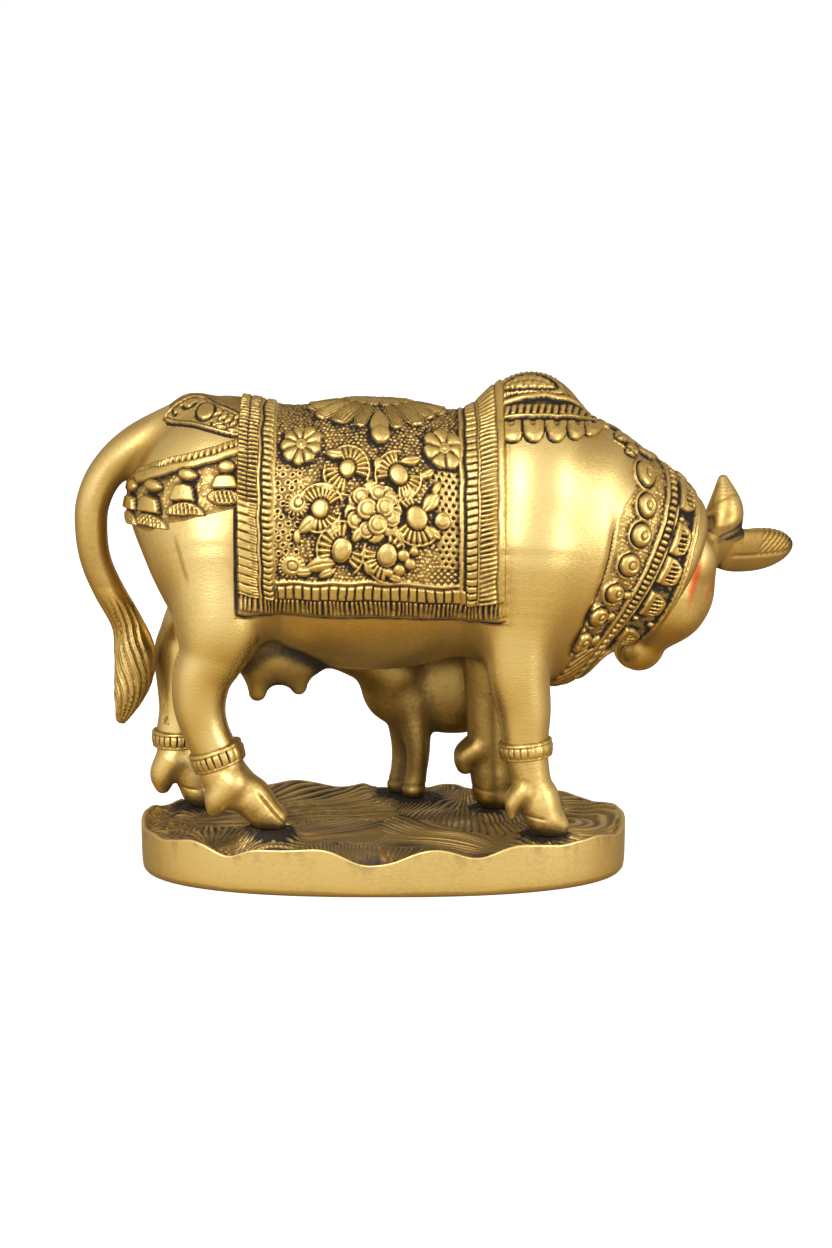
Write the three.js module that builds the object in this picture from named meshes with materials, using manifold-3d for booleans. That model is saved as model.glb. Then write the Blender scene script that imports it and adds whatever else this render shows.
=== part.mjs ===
// A kamdhenu: a cast brass cow in her festival dress, walking on a low oval plinth, with her head turned back to the
// calf that stands behind her and drinks. Cow, calf and plinth are three castings.
// Millimetres, +Z up. +X is the way the cow walks, -Y her right side. The origin is the centre of the plinth's underside.
import * as THREE from 'three';
import Module from 'manifold-3d';

// The plinth.
const groundHeight = 12.5; // top of the plinth under the hooves
const plinthEnds = 5; // plinth beyond the hooves at each end
const plinthSides = 1.5; // plinth beyond the calf's outer hooves, and as much on the other side
const wallDraft = 1.6; // the wall leans in by this much at the underside
const rimWave = 1.5; // rise and fall of the wavy rim
const groundWave = 1.1; // rise and fall of the ground between the hooves
const padRadius = 9; // flat ground round each hoof

// The cow. Her pose and carving are drawn in millimetres on a cow of drawnHeight, and made at cowHeight.
const cowHeight = 126.5; // sole to hump
const drawnHeight = 126.5;
const share = cowHeight / drawnHeight;
const soleGap = 0.1; // between a sole and the plinth

// The dress, on the drawn cow.
const clothRear = -39;
const clothFront = 33.5;
const hemAngle = -34; // degrees below the middle of her side
const clothThickness = 1.3;
const borderRise = 0.7; // the ribbed band and the blocks stand above the cloth
const ankletRadius = 7.3;
const ankletHeight = 5;

// How finely the forms are cut into triangles.
const cowCell = 2.2;
const calfCell = 1.5;
const bodyTriangles = 3000; // the bare cow
const cowTriangles = 7500; // the cow with her carving
const calfTriangles = 1300;

const brass = new THREE.MeshStandardMaterial({ color: 0xc9a24a, metalness: 1, roughness: 0.32 });
const dullBrass = new THREE.MeshStandardMaterial({ color: 0x8f7a4c, metalness: 1, roughness: 0.5 });

const wasm = await Module();
wasm.setup();

// Forms. A form is a function of x, y and z that gives the distance to its surface, negative inside.

const softMin = (a, b, softness) => {
  const near = Math.max(softness - Math.abs(a - b), 0);
  return Math.min(a, b) - (near * near) / (4 * softness);
};

const capped = (softness, cap, form) => (x, y, z) => -softMin(-form(x, y, z), -cap(x, y, z), softness);

const blend = (softness, ...forms) => (x, y, z) => {
  let distance = forms[0](x, y, z);
  for (let i = 1; i < forms.length; i += 1) distance = softMin(distance, forms[i](x, y, z), softness);
  return distance;
};

// An ellipsoid, turned by a rotation if one is given.
const egg = (centre, radii, turn = new THREE.Matrix4()) => {
  const [cx, cy, cz] = centre;
  const [rx, ry, rz] = radii;
  const m = turn.elements;
  return (x, y, z) => {
    const dx = x - cx;
    const dy = y - cy;
    const dz = z - cz;
    const a = (dx * m[0] + dy * m[1] + dz * m[2]) / rx;
    const b = (dx * m[4] + dy * m[5] + dz * m[6]) / ry;
    const c = (dx * m[8] + dy * m[9] + dz * m[10]) / rz;
    const reach = Math.sqrt(a * a + b * b + c * c);
    const slope = Math.sqrt((a / rx) ** 2 + (b / ry) ** 2 + (c / rz) ** 2);
    return slope > 0 ? (reach * (reach - 1)) / slope : -Math.min(rx, ry, rz);
  };
};

// A chain of round tapered links through stations [x, y, z, radius].
const limb = (stations, softness = 2) => {
  const links = stations.slice(1).map(([bx, by, bz, br], i) => {
    const [ax, ay, az, ar] = stations[i];
    const [ux, uy, uz] = [bx - ax, by - ay, bz - az];
    const lengthSquared = ux * ux + uy * uy + uz * uz;
    return (x, y, z) => {
      const [px, py, pz] = [x - ax, y - ay, z - az];
      const t = Math.min(1, Math.max(0, (px * ux + py * uy + pz * uz) / lengthSquared));
      const gap = Math.sqrt((px - t * ux) ** 2 + (py - t * uy) ** 2 + (pz - t * uz) ** 2);
      return gap - ar - t * (br - ar);
    };
  });
  return blend(softness, ...links);
};

const above = (height, form) => (x, y, z) => Math.max(form(x, y, z), height - z);

// The cow's forms.

const tilted = (degrees) => new THREE.Matrix4().makeRotationY(THREE.MathUtils.degToRad(degrees));

const trunk = blend(
  9,
  egg([-4, 0, 81], [52, 28.5, 37.5]),
  egg([-43, 0, 87], [28, 25, 32.5]),
  egg([40, 0, 82], [28, 27, 38.5]),
  egg([47, 0, 66], [17, 17, 26]),
);
const hump = egg([41, 0, 111.6], [13.8, 10, 14.3]);
const neckCut = (x, y, z) => (x - 81) * 0.74 + (y - 4) * 0.4 - (z - 70) * 0.54;
const neck = capped(4, neckCut, blend(
  8,
  egg([55, 0, 81], [19, 22, 31.2], tilted(10)),
  egg([66, 3, 76.5], [18, 19, 26.5], tilted(24)),
  egg([77, 7, 71], [17, 17, 22.5], tilted(30)),
));
const udder = blend(
  3,
  egg([-29, 0, 48], [14, 13, 9]),
  ...[-6.5, 6.5].flatMap((y) => [
    limb([[-34.5, y, 44, 4.2], [-35, y, 38, 2.3]]),
    limb([[-24.5, y, 45, 4.4], [-23.4, y, 39.5, 2]]),
  ]),
);
const tail = limb([
  [-52, 0, 113, 7],
  [-67, 0, 106.5, 6],
  [-76, 0, 99.5, 4.8],
  [-80.4, 0, 91, 4.4],
  [-81.2, 0.5, 82.5, 4.2],
  [-80.2, 1.5, 74, 4],
  [-77.2, 3, 65.8, 4],
  [-72.4, 6, 55.5, 4.2],
  [-70.4, 7, 47, 5.6],
  [-70.6, 7, 41, 5.4],
  [-72, 6.5, 35, 4.2],
  [-74.2, 6, 28, 1.6],
], 3);

// A leg goes through its stations to the pastern, and ends in a hoof whose toe points along +X, with two dewclaws.
const leg = (stations, [hoofX, hoofY]) => {
  const hoof = limb([[hoofX, hoofY, 8, 6], [hoofX + 1.5, hoofY, 3.5, 5.6], [hoofX + 5.2, hoofY, 2.2, 3.6]], 3);
  const dewclaws = [-3.2, 3.2].map((side) => limb([
    [hoofX - 3.5, hoofY + side, 13, 3],
    [hoofX - 7.2, hoofY + side, 9.5, 2.2],
    [hoofX - 7.6, hoofY + side, 6.5, 1.3],
  ]));
  return above(0, blend(2.5, limb([...stations, [hoofX, hoofY, 8, 5.6]], 3), hoof, ...dewclaws));
};

const hooves = {
  rightHind: [-35.5, -18.5],
  leftHind: [-54.5, 16.5],
  rightFore: [43.8, -17.5],
  leftFore: [31, 13.8],
};
const ankles = {
  rightHind: [-45.6, -18, 22.5],
  leftHind: [-59.3, 16.5, 20],
  rightFore: [39.5, -17, 24.5],
  leftFore: [30.2, 13.8, 19],
};
const legs = blend(
  3,
  leg([
    [-45, -10, 78, 17],
    [-44.4, -16, 61, 12.6],
    [-46.2, -18, 52, 9.2],
    [-49.4, -18, 45, 8],
    [-50.3, -18, 37, 7],
    [-48.8, -18, 30, 6.2],
    [...ankles.rightHind, 6],
    [-43, -18, 16, 6.4],
  ], hooves.rightHind),
  leg([
    [-45, 10, 78, 17],
    [-48, 15.5, 61, 12.6],
    [-55, 16.5, 51, 8.6],
    [-58.2, 16.5, 44.5, 7.4],
    [-58.6, 16.5, 36, 6.3],
    [-58.6, 16.5, 28, 5.8],
    [...ankles.leftHind, 6],
    [-58, 16.5, 13, 5.8],
  ], hooves.leftHind),
  leg([
    [38, -12, 79, 16],
    [37.4, -16, 57, 10.2],
    [37.6, -17, 45, 8.4],
    [39, -17, 35, 7.2],
    [...ankles.rightFore, 6.1],
    [41.7, -17, 14, 5.7],
  ], hooves.rightFore),
  leg([
    [36, 12, 79, 16],
    [33, 13.5, 57, 9.8],
    [30.6, 13.8, 45, 8],
    [30, 13.8, 33, 6.6],
    [...ankles.leftFore, 5.9],
    [30.2, 13.8, 12, 5.4],
  ], hooves.leftFore),
);

// The head has its own axes: down the face from the poll, out to her right ear, and out from the forehead.
const poll = new THREE.Vector3(88.5, 18, 76);
const faceDown = new THREE.Vector3(-0.43, 0.22, -0.87).normalize();
const toEar = new THREE.Vector3(0.88, 0.44, 0.17).projectOnPlane(faceDown).normalize();
const toFront = new THREE.Vector3().crossVectors(toEar, faceDown).normalize();
const onHead = (down, side, front) => poll.clone()
  .addScaledVector(faceDown, down)
  .addScaledVector(toEar, side)
  .addScaledVector(toFront, front)
  .toArray();
const headTurn = new THREE.Matrix4().makeBasis(toEar, toFront, faceDown);

const skull = blend(
  4,
  egg(onHead(7, 0, -1), [9, 8.5, 11], headTurn),
  limb([[...onHead(14, 0, 0), 7.4], [...onHead(30, 0, 0.5), 6]]),
  egg(onHead(19, 0, -6), [7, 7, 9.5], headTurn),
  limb([[...onHead(20, 0, -6), 6], [...onHead(31, 0, -3), 4.4]]),
  egg(onHead(35, 0, 0), [7, 6.6, 5.8], headTurn),
);

// An ear is a thick leaf from its root to its tip, and broad across the head's own down axis.
const ear = (root, tip) => {
  const along = new THREE.Vector3(...tip).sub(new THREE.Vector3(...root));
  const length = along.length();
  along.normalize();
  const through = new THREE.Vector3().crossVectors(faceDown, along).normalize();
  const broad = new THREE.Vector3().crossVectors(through, along).normalize();
  const middle = root.map((value, i) => (value + tip[i]) / 2);
  return egg(middle, [length / 2, 2.3, 6.2], new THREE.Matrix4().makeBasis(along, through, broad));
};
const rightEar = ear(onHead(0.5, 4, -3), onHead(-6.5, 34, -3));
const leftEar = ear(onHead(2.5, -6, -2), onHead(6, -21, 17));

const headSide = (side) => blend(
  1.2,
  egg(onHead(12.5, side * 7.2, 3.6), [2.4, 3, 3.2], headTurn),
  egg(onHead(36, side * 4, 5), [2.2, 2, 2], headTurn),
);

// The left horn is bent down and forward, clear of the neck.
const horn = (side, middle, tip) => limb([
  [...onHead(1.5, side * 4.5, 0), 5],
  [...onHead(-4, side * 7.6, 1.5), 4.7],
  [...middle, 3.8],
  [...tip, 1.3],
]);
const rightHorn = horn(1, onHead(-11, 8.6, 4), onHead(-18, 6.6, 9));
const leftHorn = horn(-1, onHead(-6, -11, 5), onHead(-9.5, -11.5, 12));
const head = blend(1.5, skull, rightEar, leftEar, rightHorn, leftHorn, headSide(1), headSide(-1));

const body = blend(5, blend(5, trunk, hump, legs, neck), head);
const cowForm = blend(3, body, udder, tail);

// From forms to triangles.

// Cuts each cell of a grid into six tetrahedra round its long diagonal, and each tetrahedron where the form passes
// through it. Corners are numbered 0 to 7 by their bits: x is 1, y is 2, z is 4.
const tetrahedra = [[1, 3], [3, 2], [2, 6], [6, 4], [4, 5], [5, 1]].map(([a, b]) => [0, a, b, 7]);

function skinned(form, low, high, cell) {
  const counts = low.map((from, i) => Math.ceil((high[i] - from) / cell) + 1);
  const [nx, ny, nz] = counts;
  const values = new Float32Array(nx * ny * nz);
  const block = 5;
  const blockReach = cell * block * 1.3;
  for (let k0 = 0; k0 < nz; k0 += block) {
    for (let j0 = 0; j0 < ny; j0 += block) {
      for (let i0 = 0; i0 < nx; i0 += block) {
        const half = block / 2;
        const middle = form(...[i0, j0, k0].map((n, axis) => low[axis] + (n + half) * cell));
        const far = Math.abs(middle) > blockReach;
        for (let k = k0; k < Math.min(nz, k0 + block); k += 1) {
          for (let j = j0; j < Math.min(ny, j0 + block); j += 1) {
            for (let i = i0; i < Math.min(nx, i0 + block); i += 1) {
              const value = far ? middle : form(low[0] + i * cell, low[1] + j * cell, low[2] + k * cell);
              values[i + nx * (j + ny * k)] = value || 1e-6;
            }
          }
        }
      }
    }
  }
  const positions = [];
  const triangles = [];
  const cutOf = new Map();
  const cut = (a, b) => {
    const key = a < b ? a * values.length + b : b * values.length + a;
    if (!cutOf.has(key)) {
      const t = values[a] / (values[a] - values[b]);
      const at = [a, b].map((n) => [n % nx, Math.floor(n / nx) % ny, Math.floor(n / (nx * ny))]);
      cutOf.set(key, positions.length / 3);
      low.forEach((from, axis) => positions.push(from + cell * (at[0][axis] + t * (at[1][axis] - at[0][axis]))));
    }
    return cutOf.get(key);
  };
  const corner = [0, 1, 2, 3, 4, 5, 6, 7].map((n) => (n & 1) + nx * (((n >> 1) & 1) + ny * ((n >> 2) & 1)));
  for (let k = 0; k < nz - 1; k += 1) {
    for (let j = 0; j < ny - 1; j += 1) {
      for (let i = 0; i < nx - 1; i += 1) {
        const origin = i + nx * (j + ny * k);
        const inside = corner.reduce((sum, step) => sum + (values[origin + step] < 0 ? 1 : 0), 0);
        if (inside === 0 || inside === 8) continue;
        for (const tetrahedron of tetrahedra) {
          const ends = tetrahedron.map((n) => origin + corner[n]);
          const odd = [0, 1, 2, 3].filter((n) => values[ends[n]] < 0);
          if (odd.length === 0 || odd.length === 4) continue;
          addCut(triangles, ends, odd, cut);
        }
      }
    }
  }
  return { positions, triangles };
}

// The one or two triangles where the surface crosses a tetrahedron, with their faces outward. odd lists its inner ends.
function addCut(triangles, ends, odd, cut) {
  const even = [0, 1, 2, 3].filter((n) => !odd.includes(n));
  const order = [...odd, ...even];
  const swaps = order.reduce((sum, a, i) => sum + order.slice(i + 1).filter((b) => b < a).length, 0);
  const add = (a, b, c) => triangles.push(...(swaps % 2 ? [a, c, b] : [a, b, c]));
  const [p, q, r, s] = order.map((n) => ends[n]);
  if (odd.length === 1) add(cut(p, q), cut(p, r), cut(p, s));
  if (odd.length === 3) add(cut(s, p), cut(s, q), cut(s, r));
  if (odd.length === 2) {
    add(cut(p, r), cut(p, s), cut(q, s));
    add(cut(p, r), cut(q, s), cut(q, r));
  }
}

// Removes edges of a closed surface, the least needed first, until only `keep` triangles are left.
function thinned({ positions, triangles }, keep) {
  const at = (v) => new THREE.Vector3(positions[3 * v], positions[3 * v + 1], positions[3 * v + 2]);
  const points = Array.from({ length: positions.length / 3 }, (_, v) => at(v));
  const faces = Array.from({ length: triangles.length / 3 }, (_, f) => triangles.slice(3 * f, 3 * f + 3));
  const around = points.map(() => new Set());
  const errors = points.map(() => new Float64Array(10));
  const normalOf = (a, b, c) => new THREE.Vector3().subVectors(b, a).cross(new THREE.Vector3().subVectors(c, a));
  faces.forEach((face, f) => {
    const [a, b, c] = face.map((v) => points[v]);
    const n = normalOf(a, b, c);
    const area = n.length();
    if (area > 0) n.divideScalar(area);
    const [x, y, z, w] = [n.x, n.y, n.z, -n.dot(a)];
    const terms = [x * x, x * y, x * z, x * w, y * y, y * z, y * w, z * z, z * w, w * w];
    face.forEach((v) => {
      around[v].add(f);
      terms.forEach((term, i) => { errors[v][i] += term * (area + 1e-4); });
    });
  });
  const errorAt = (q, { x, y, z }) => q[0] * x * x + 2 * q[1] * x * y + 2 * q[2] * x * z + 2 * q[3] * x
    + q[4] * y * y + 2 * q[5] * y * z + 2 * q[6] * y + q[7] * z * z + 2 * q[8] * z + q[9];
  const matrix = new THREE.Matrix3();
  const best = (u, v) => {
    const q = new Float64Array(10);
    for (let i = 0; i < 10; i += 1) q[i] = errors[u][i] + errors[v][i];
    const middle = points[u].clone().lerp(points[v], 0.5);
    const span = points[u].distanceToSquared(points[v]);
    let point = middle;
    matrix.set(q[0], q[1], q[2], q[1], q[4], q[5], q[2], q[5], q[7]);
    if (Math.abs(matrix.determinant()) > 1e-3) {
      const solved = new THREE.Vector3(-q[3], -q[6], -q[8]).applyMatrix3(matrix.invert());
      if (solved.distanceToSquared(middle) < span) point = solved;
    }
    return { u, v, point, cost: errorAt(q, point) + 2e-4 * span, q };
  };
  const neighbours = (v) => {
    const found = new Set();
    around[v].forEach((f) => faces[f].forEach((w) => found.add(w)));
    found.delete(v);
    return found;
  };
  const turned = (v, other, point) => {
    for (const f of around[v]) {
      const [a, b, c] = faces[f];
      if (a === other || b === other || c === other) continue;
      const before = normalOf(points[a], points[b], points[c]);
      const after = normalOf(...[a, b, c].map((w) => (w === v ? point : points[w])));
      if (after.length() < 1e-3 || after.dot(before) < 0.3 * after.length() * before.length()) return true;
    }
    return false;
  };
  const heap = [];
  const push = (item) => {
    heap.push(item);
    let i = heap.length - 1;
    while (i > 0 && heap[(i - 1) >> 1].cost > heap[i].cost) {
      [heap[i], heap[(i - 1) >> 1]] = [heap[(i - 1) >> 1], heap[i]];
      i = (i - 1) >> 1;
    }
  };
  const pop = () => {
    const top = heap[0];
    const last = heap.pop();
    if (heap.length === 0) return top;
    heap[0] = last;
    let i = 0;
    for (;;) {
      let least = i;
      for (let n = 2 * i + 1; n <= 2 * i + 2 && n < heap.length; n += 1) {
        if (heap[n].cost < heap[least].cost) least = n;
      }
      if (least === i) return top;
      [heap[i], heap[least]] = [heap[least], heap[i]];
      i = least;
    }
  };
  const stamp = points.map(() => 0);
  const offer = (u, v) => push({ ...best(u, v), made: stamp[u] + stamp[v] });
  faces.forEach((face) => face.forEach((u, i) => {
    const v = face[(i + 1) % 3];
    if (u < v) offer(u, v);
  }));
  let left = faces.length;
  while (left > keep && heap.length > 0) {
    const { u, v, point, q, made } = pop();
    if (made !== stamp[u] + stamp[v] || around[u].size === 0 || around[v].size === 0) continue;
    const others = neighbours(v);
    const shared = [...neighbours(u)].filter((w) => others.has(w));
    if (!others.has(u) || shared.length !== 2 || turned(u, v, point) || turned(v, u, point)) continue;
    if (shared.some((w) => around[w].size <= 3)) continue;
    points[u] = point;
    errors[u] = q;
    [...around[v]].forEach((f) => {
      if (faces[f].includes(u)) {
        faces[f].forEach((w) => around[w].delete(f));
        left -= 1;
      } else {
        faces[f] = faces[f].map((w) => (w === v ? u : w));
        around[u].add(f);
      }
    });
    around[v].clear();
    stamp[u] += 1;
    neighbours(u).forEach((w) => offer(u, w));
  }
  const alive = new Set(around.flatMap((set) => [...set]));
  return solid(points, [...alive].map((f) => faces[f]));
}

const solid = (points, faces) => {
  const numbers = new Map();
  const corners = faces.flat().map((v) => {
    if (!numbers.has(v)) numbers.set(v, numbers.size);
    return numbers.get(v);
  });
  const used = [...numbers.keys()].map((v) => points[v]);
  return new wasm.Manifold(new wasm.Mesh({
    numProp: 3,
    vertProperties: new Float32Array(used.flatMap((p) => p.toArray())),
    triVerts: new Uint32Array(corners),
  }));
};

// Carving. Each piece of it is laid on the cow's own surface and sunk into it.

const dressed = blend(5, trunk, hump, legs, neck);
const sinkDepth = 2;

// The surface met on the way from one point toward another, with its outward direction.
function surfaceFrom(from, toward, form = dressed) {
  const point = new THREE.Vector3(...from);
  const step = new THREE.Vector3(...toward).sub(point).normalize();
  for (let i = 0; i < 400; i += 1) {
    const distance = form(point.x, point.y, point.z);
    if (distance < 0.01) break;
    point.addScaledVector(step, Math.max(distance * 0.6, 0.01));
  }
  const slope = (dx, dy, dz) => form(point.x + dx, point.y + dy, point.z + dz)
    - form(point.x - dx, point.y - dy, point.z - dz);
  return { point, out: new THREE.Vector3(slope(0.4, 0, 0), slope(0, 0.4, 0), slope(0, 0, 0.4)).normalize() };
}

// Rays that meet the trunk: x along it, degrees up round it from her right side.
const girthHeight = 80;
const onTrunk = (x, degrees) => {
  const angle = THREE.MathUtils.degToRad(degrees);
  return surfaceFrom([x, -60 * Math.cos(angle), girthHeight + 60 * Math.sin(angle)], [x, 0, girthHeight]);
};

// Rays that meet the neck: distance forward along it from the collar's first row, degrees up round it.
const neckAlong = new THREE.Vector3(0.82, 0.38, -0.42).normalize();
const neckUp = new THREE.Vector3(0, 0, 1).projectOnPlane(neckAlong).normalize();
const neckSide = new THREE.Vector3().crossVectors(neckAlong, neckUp);
const onNeck = (forward, degrees) => {
  const angle = THREE.MathUtils.degToRad(degrees);
  const middle = new THREE.Vector3(57.5, 1, 77).addScaledVector(neckAlong, forward);
  const from = middle.clone().addScaledVector(neckSide, 60 * Math.cos(angle)).addScaledVector(neckUp, 60 * Math.sin(angle));
  return surfaceFrom(from.toArray(), middle.toArray());
};

// A raised strip over a patch of the surface, from a grid of rays.
function strip(ray, [u0, u1, across], [v0, v1, along], rise, depth = sinkDepth) {
  const points = [];
  for (const height of [rise, -depth]) {
    for (let i = 0; i <= across; i += 1) {
      for (let j = 0; j <= along; j += 1) {
        const { point, out } = ray(u0 + ((u1 - u0) * i) / across, v0 + ((v1 - v0) * j) / along);
        points.push(point.clone().addScaledVector(out, height));
      }
    }
  }
  const row = along + 1;
  const under = (across + 1) * row;
  const faces = [];
  const quad = (a, b, c, d) => faces.push([a, b, c], [a, c, d]);
  for (let i = 0; i < across; i += 1) {
    for (let j = 0; j < along; j += 1) {
      const n = i * row + j;
      quad(n, n + row, n + row + 1, n + 1);
      quad(under + n, under + n + 1, under + n + row + 1, under + n + row);
    }
    const start = i * row;
    const end = start + along;
    quad(start + row, start, under + start, under + start + row);
    quad(end, end + row, under + end + row, under + end);
  }
  for (let j = 0; j < along; j += 1) {
    const end = across * row + j;
    quad(j, j + 1, under + j + 1, under + j);
    quad(end + 1, end, under + end, under + end + 1);
  }
  const made = solid(points, faces);
  return made.volume() < 0 ? solid(points, faces.map(([a, b, c]) => [a, c, b])) : made;
}

// A stud with an outline [[right, up], ...] and levels [[height, scale], ...] from its foot to its top.
function stud({ point, out }, upward, outline, levels) {
  const up = new THREE.Vector3(...upward).projectOnPlane(out).normalize();
  const right = new THREE.Vector3().crossVectors(up, out);
  const count = outline.length;
  const points = levels.flatMap(([height, scale]) => outline.map(([x, y]) => point.clone()
    .addScaledVector(right, x * scale)
    .addScaledVector(up, y * scale)
    .addScaledVector(out, height)));
  const faces = [];
  levels.slice(1).forEach((_, level) => outline.forEach((__, i) => {
    const [a, b] = [level * count + i, level * count + ((i + 1) % count)];
    faces.push([a, b, b + count], [a, b + count, a + count]);
  }));
  const lowest = points.push(point.clone().addScaledVector(out, levels[0][0])) - 1;
  const highest = points.push(point.clone().addScaledVector(out, levels.at(-1)[0])) - 1;
  const last = (levels.length - 1) * count;
  outline.forEach((_, i) => faces.push([(i + 1) % count, i, lowest], [last + i, last + ((i + 1) % count), highest]));
  return solid(points, faces);
}

const ring = (count, radius, lobes = 0, depth = 0) => Array.from({ length: count }, (_, i) => {
  const angle = (2 * Math.PI * i) / count;
  const reach = radius * (1 + depth * Math.cos(lobes * angle));
  return [reach * Math.cos(angle), reach * Math.sin(angle)];
});
const stretched = (outline, x, y) => outline.map(([a, b]) => [a * x, b * y]);
const domeLevels = (rise) => [[-sinkDepth, 1], [rise * 0.5, 1], [rise, 0.5]];
const tabletLevels = (rise) => [[-sinkDepth, 1], [rise, 0.9]];

const overCloth = ({ point, out }) => ({ point: point.clone().addScaledVector(out, clothThickness), out });
const upwards = [0, 0, 1];
const bothSides = (degrees) => [degrees, 180 - degrees];

const bandWidth = 5.6;
const hemBandTop = -23;
const round = [hemAngle, 180 - hemAngle];
const cloth = [
  strip(onTrunk, [clothRear, clothFront, 9], [...round, 26], clothThickness),
  strip(onTrunk, [clothRear, clothRear + bandWidth, 1], [...round, 26], clothThickness + borderRise),
  strip(onTrunk, [clothFront - bandWidth, clothFront, 1], [...round, 26], clothThickness + borderRise),
  ...bothSides(hemAngle).map((edge) => {
    const inner = edge < 90 ? hemBandTop : 180 - hemBandTop;
    return strip(onTrunk, [clothRear, clothFront, 9], [edge, inner, 1], clothThickness + borderRise);
  }),
];
const blockHalf = 1.7;
const blockAngle = 3;
const blocks = [];
for (let degrees = -12; degrees <= 192; degrees += 8.5) {
  for (const x of [clothRear + bandWidth + 2.4, clothFront - bandWidth - 2.4]) {
    blocks.push(strip(onTrunk, [x - blockHalf, x + blockHalf, 1],
      [degrees - blockAngle, degrees + blockAngle, 1], clothThickness + borderRise));
  }
}
for (let x = -29; x <= 24; x += 4.6) {
  for (const degrees of bothSides(-18.5)) {
    blocks.push(strip(onTrunk, [x - blockHalf, x + blockHalf, 1],
      [degrees - 2.6, degrees + 2.6, 1], clothThickness + borderRise));
  }
}

const leafFlowers = [[-9.1, 44], [4.4, 41], [-16.3, 25.4], [9.2, 20.7], [-10.6, 3.4], [1.4, 0.6]];
const outFromCentre = ([x, degrees], reach) => [-2.3 + (x + 2.3) * reach, 23 + (degrees - 23) * reach];
const flowers = bothSides(0).flatMap((far) => {
  const at = (x, degrees) => overCloth(onTrunk(x, far ? 180 - degrees : degrees));
  return [
    ...[[-21.6, 58.2], [16.6, 57.4]].map((place) => stud(at(...place), upwards,
      ring(16, 4.9, 8, 0.12), [[-sinkDepth, 1], [0.9, 1], [1.1, 0.4]])),
    stud(at(-2.3, 24), upwards, ring(16, 6.4, 8, 0.1), [[-sinkDepth, 1], [1.2, 1], [1.9, 0.45]]),
    ...leafFlowers.flatMap((place) => [
      stud(at(...place), upwards, ring(6, 2.5), domeLevels(2.2)),
      stud(at(...outFromCentre(place, 1.38)), upwards,
        stretched(ring(6, 3), 1.1, 0.8), tabletLevels(1)),
    ]),
    ...[[-24.2, -6.6], [16.2, 19.1]].map((place) => stud(at(...place), upwards,
      stretched(ring(6, 2.8), 0.8, 1.2), tabletLevels(1))),
    ...[-12, -6, 0, 6, 12].map((x) => stud(at(x, 66 + Math.abs(x)), [x / 9, -1, 1], stretched(ring(6, 3.6), 0.6, 1.1),
      domeLevels(1.5))),
  ];
});

const medallionAngles = [58, 39.5, 21, -2.5, -24.5, -42, -57];
const bellAngles = [50, 28.5, 5, -20, -46];
const bellOutline = [[-2.6, -2.4], [2.6, -2.4], [1.9, 2.4], [-1.9, 2.4]];
const collar = bothSides(0).flatMap((far) => {
  const at = (forward, degrees) => onNeck(forward, far ? 180 - degrees : degrees);
  return [
    ...medallionAngles.map((degrees) => stud(at(0.6 * Math.cos((degrees * Math.PI) / 180), degrees), upwards,
      ring(8, 2.9), [[-sinkDepth, 1], [1.2, 1], [1.6, 0.45]])),
    ...bellAngles.map((degrees) => stud(at(13.6, degrees), neckAlong.toArray().map((value) => -value), bellOutline,
      tabletLevels(1.6))),
  ];
});
collar.push(
  strip(onNeck, [5.6, 8, 1], [-68, 248, 34], 0.9),
  strip(onNeck, [17, 19, 1], [-68, 248, 30], 1.1),
);

const yoke = bothSides(0).flatMap((far) => {
  const at = (x, degrees) => onTrunk(x, far ? 180 - degrees : degrees);
  return [[35.2, 63], [40.3, 62], [45.4, 62.7], [50.4, 66], [55.4, 71]].map((place) => stud(at(...place), upwards,
    [[-2.3, 2.6], [-2.3, -0.6], [-1.2, -2.5], [1.2, -2.5], [2.3, -0.6], [2.3, 2.6]], tabletLevels(1.4)));
});
yoke.push(strip(onTrunk, [34, 57, 4], [72, 108, 6], 1.1));

const bell = (at, x, degrees) => [
  stud(at(x, degrees + 4), upwards, stretched(ring(6, 1), 3, 2), domeLevels(2.6)),
  stud(at(x, degrees - 4), upwards, [[-2.7, 1.7], [-3.8, -1.7], [3.8, -1.7], [2.7, 1.7]], tabletLevels(1.8)),
];
const rump = bothSides(0).flatMap((far) => {
  const at = (x, degrees) => onTrunk(x, far ? 180 - degrees : degrees);
  return [
    ...bell(at, -43, 38),
    ...bell(at, -53.1, 33),
    ...bell(at, -61.5, 33),
    stud(at(-49, 77), [1, 0, 0.2], stretched(ring(8, 5.5), 0.75, 1.9), domeLevels(1.6)),
    strip((t, w) => at(-39 - 23 * t, 59 - 10 * t + w), [0, 1, 5], [-3, 3, 1], 1.4),
  ];
});

const anklets = [
  ...[ankles.rightHind, ankles.leftHind, ankles.rightFore].map((middle, i) => {
    const along = new THREE.Vector3([-0.35, 0, -0.1][i], 0, 1).normalize();
    const foot = new THREE.Vector3(...middle).addScaledVector(along, -ankletHeight / 2);
    return stud({ point: foot, out: along }, [0, 1, 0], ring(12, ankletRadius),
      [[0, 0.94], [0.8, 1.04], [ankletHeight - 0.8, 1.04], [ankletHeight, 0.94]]);
  }),
];

const gathered = (pieces, keep) => {
  const { vertProperties, triVerts } = pieces.reduce((whole, piece) => whole.add(piece)).getMesh();
  return thinned({ positions: [...vertProperties], triangles: [...triVerts] }, keep);
};
const cowSolid = gathered([
  thinned(skinned(cowForm, [-90, -36, -3], [122, 40, 130], cowCell), bodyTriangles),
  ...cloth, ...blocks, ...flowers, ...collar, ...yoke, ...rump, ...anklets,
], cowTriangles);

// The calf, on the cow's left, facing her udder.

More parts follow.
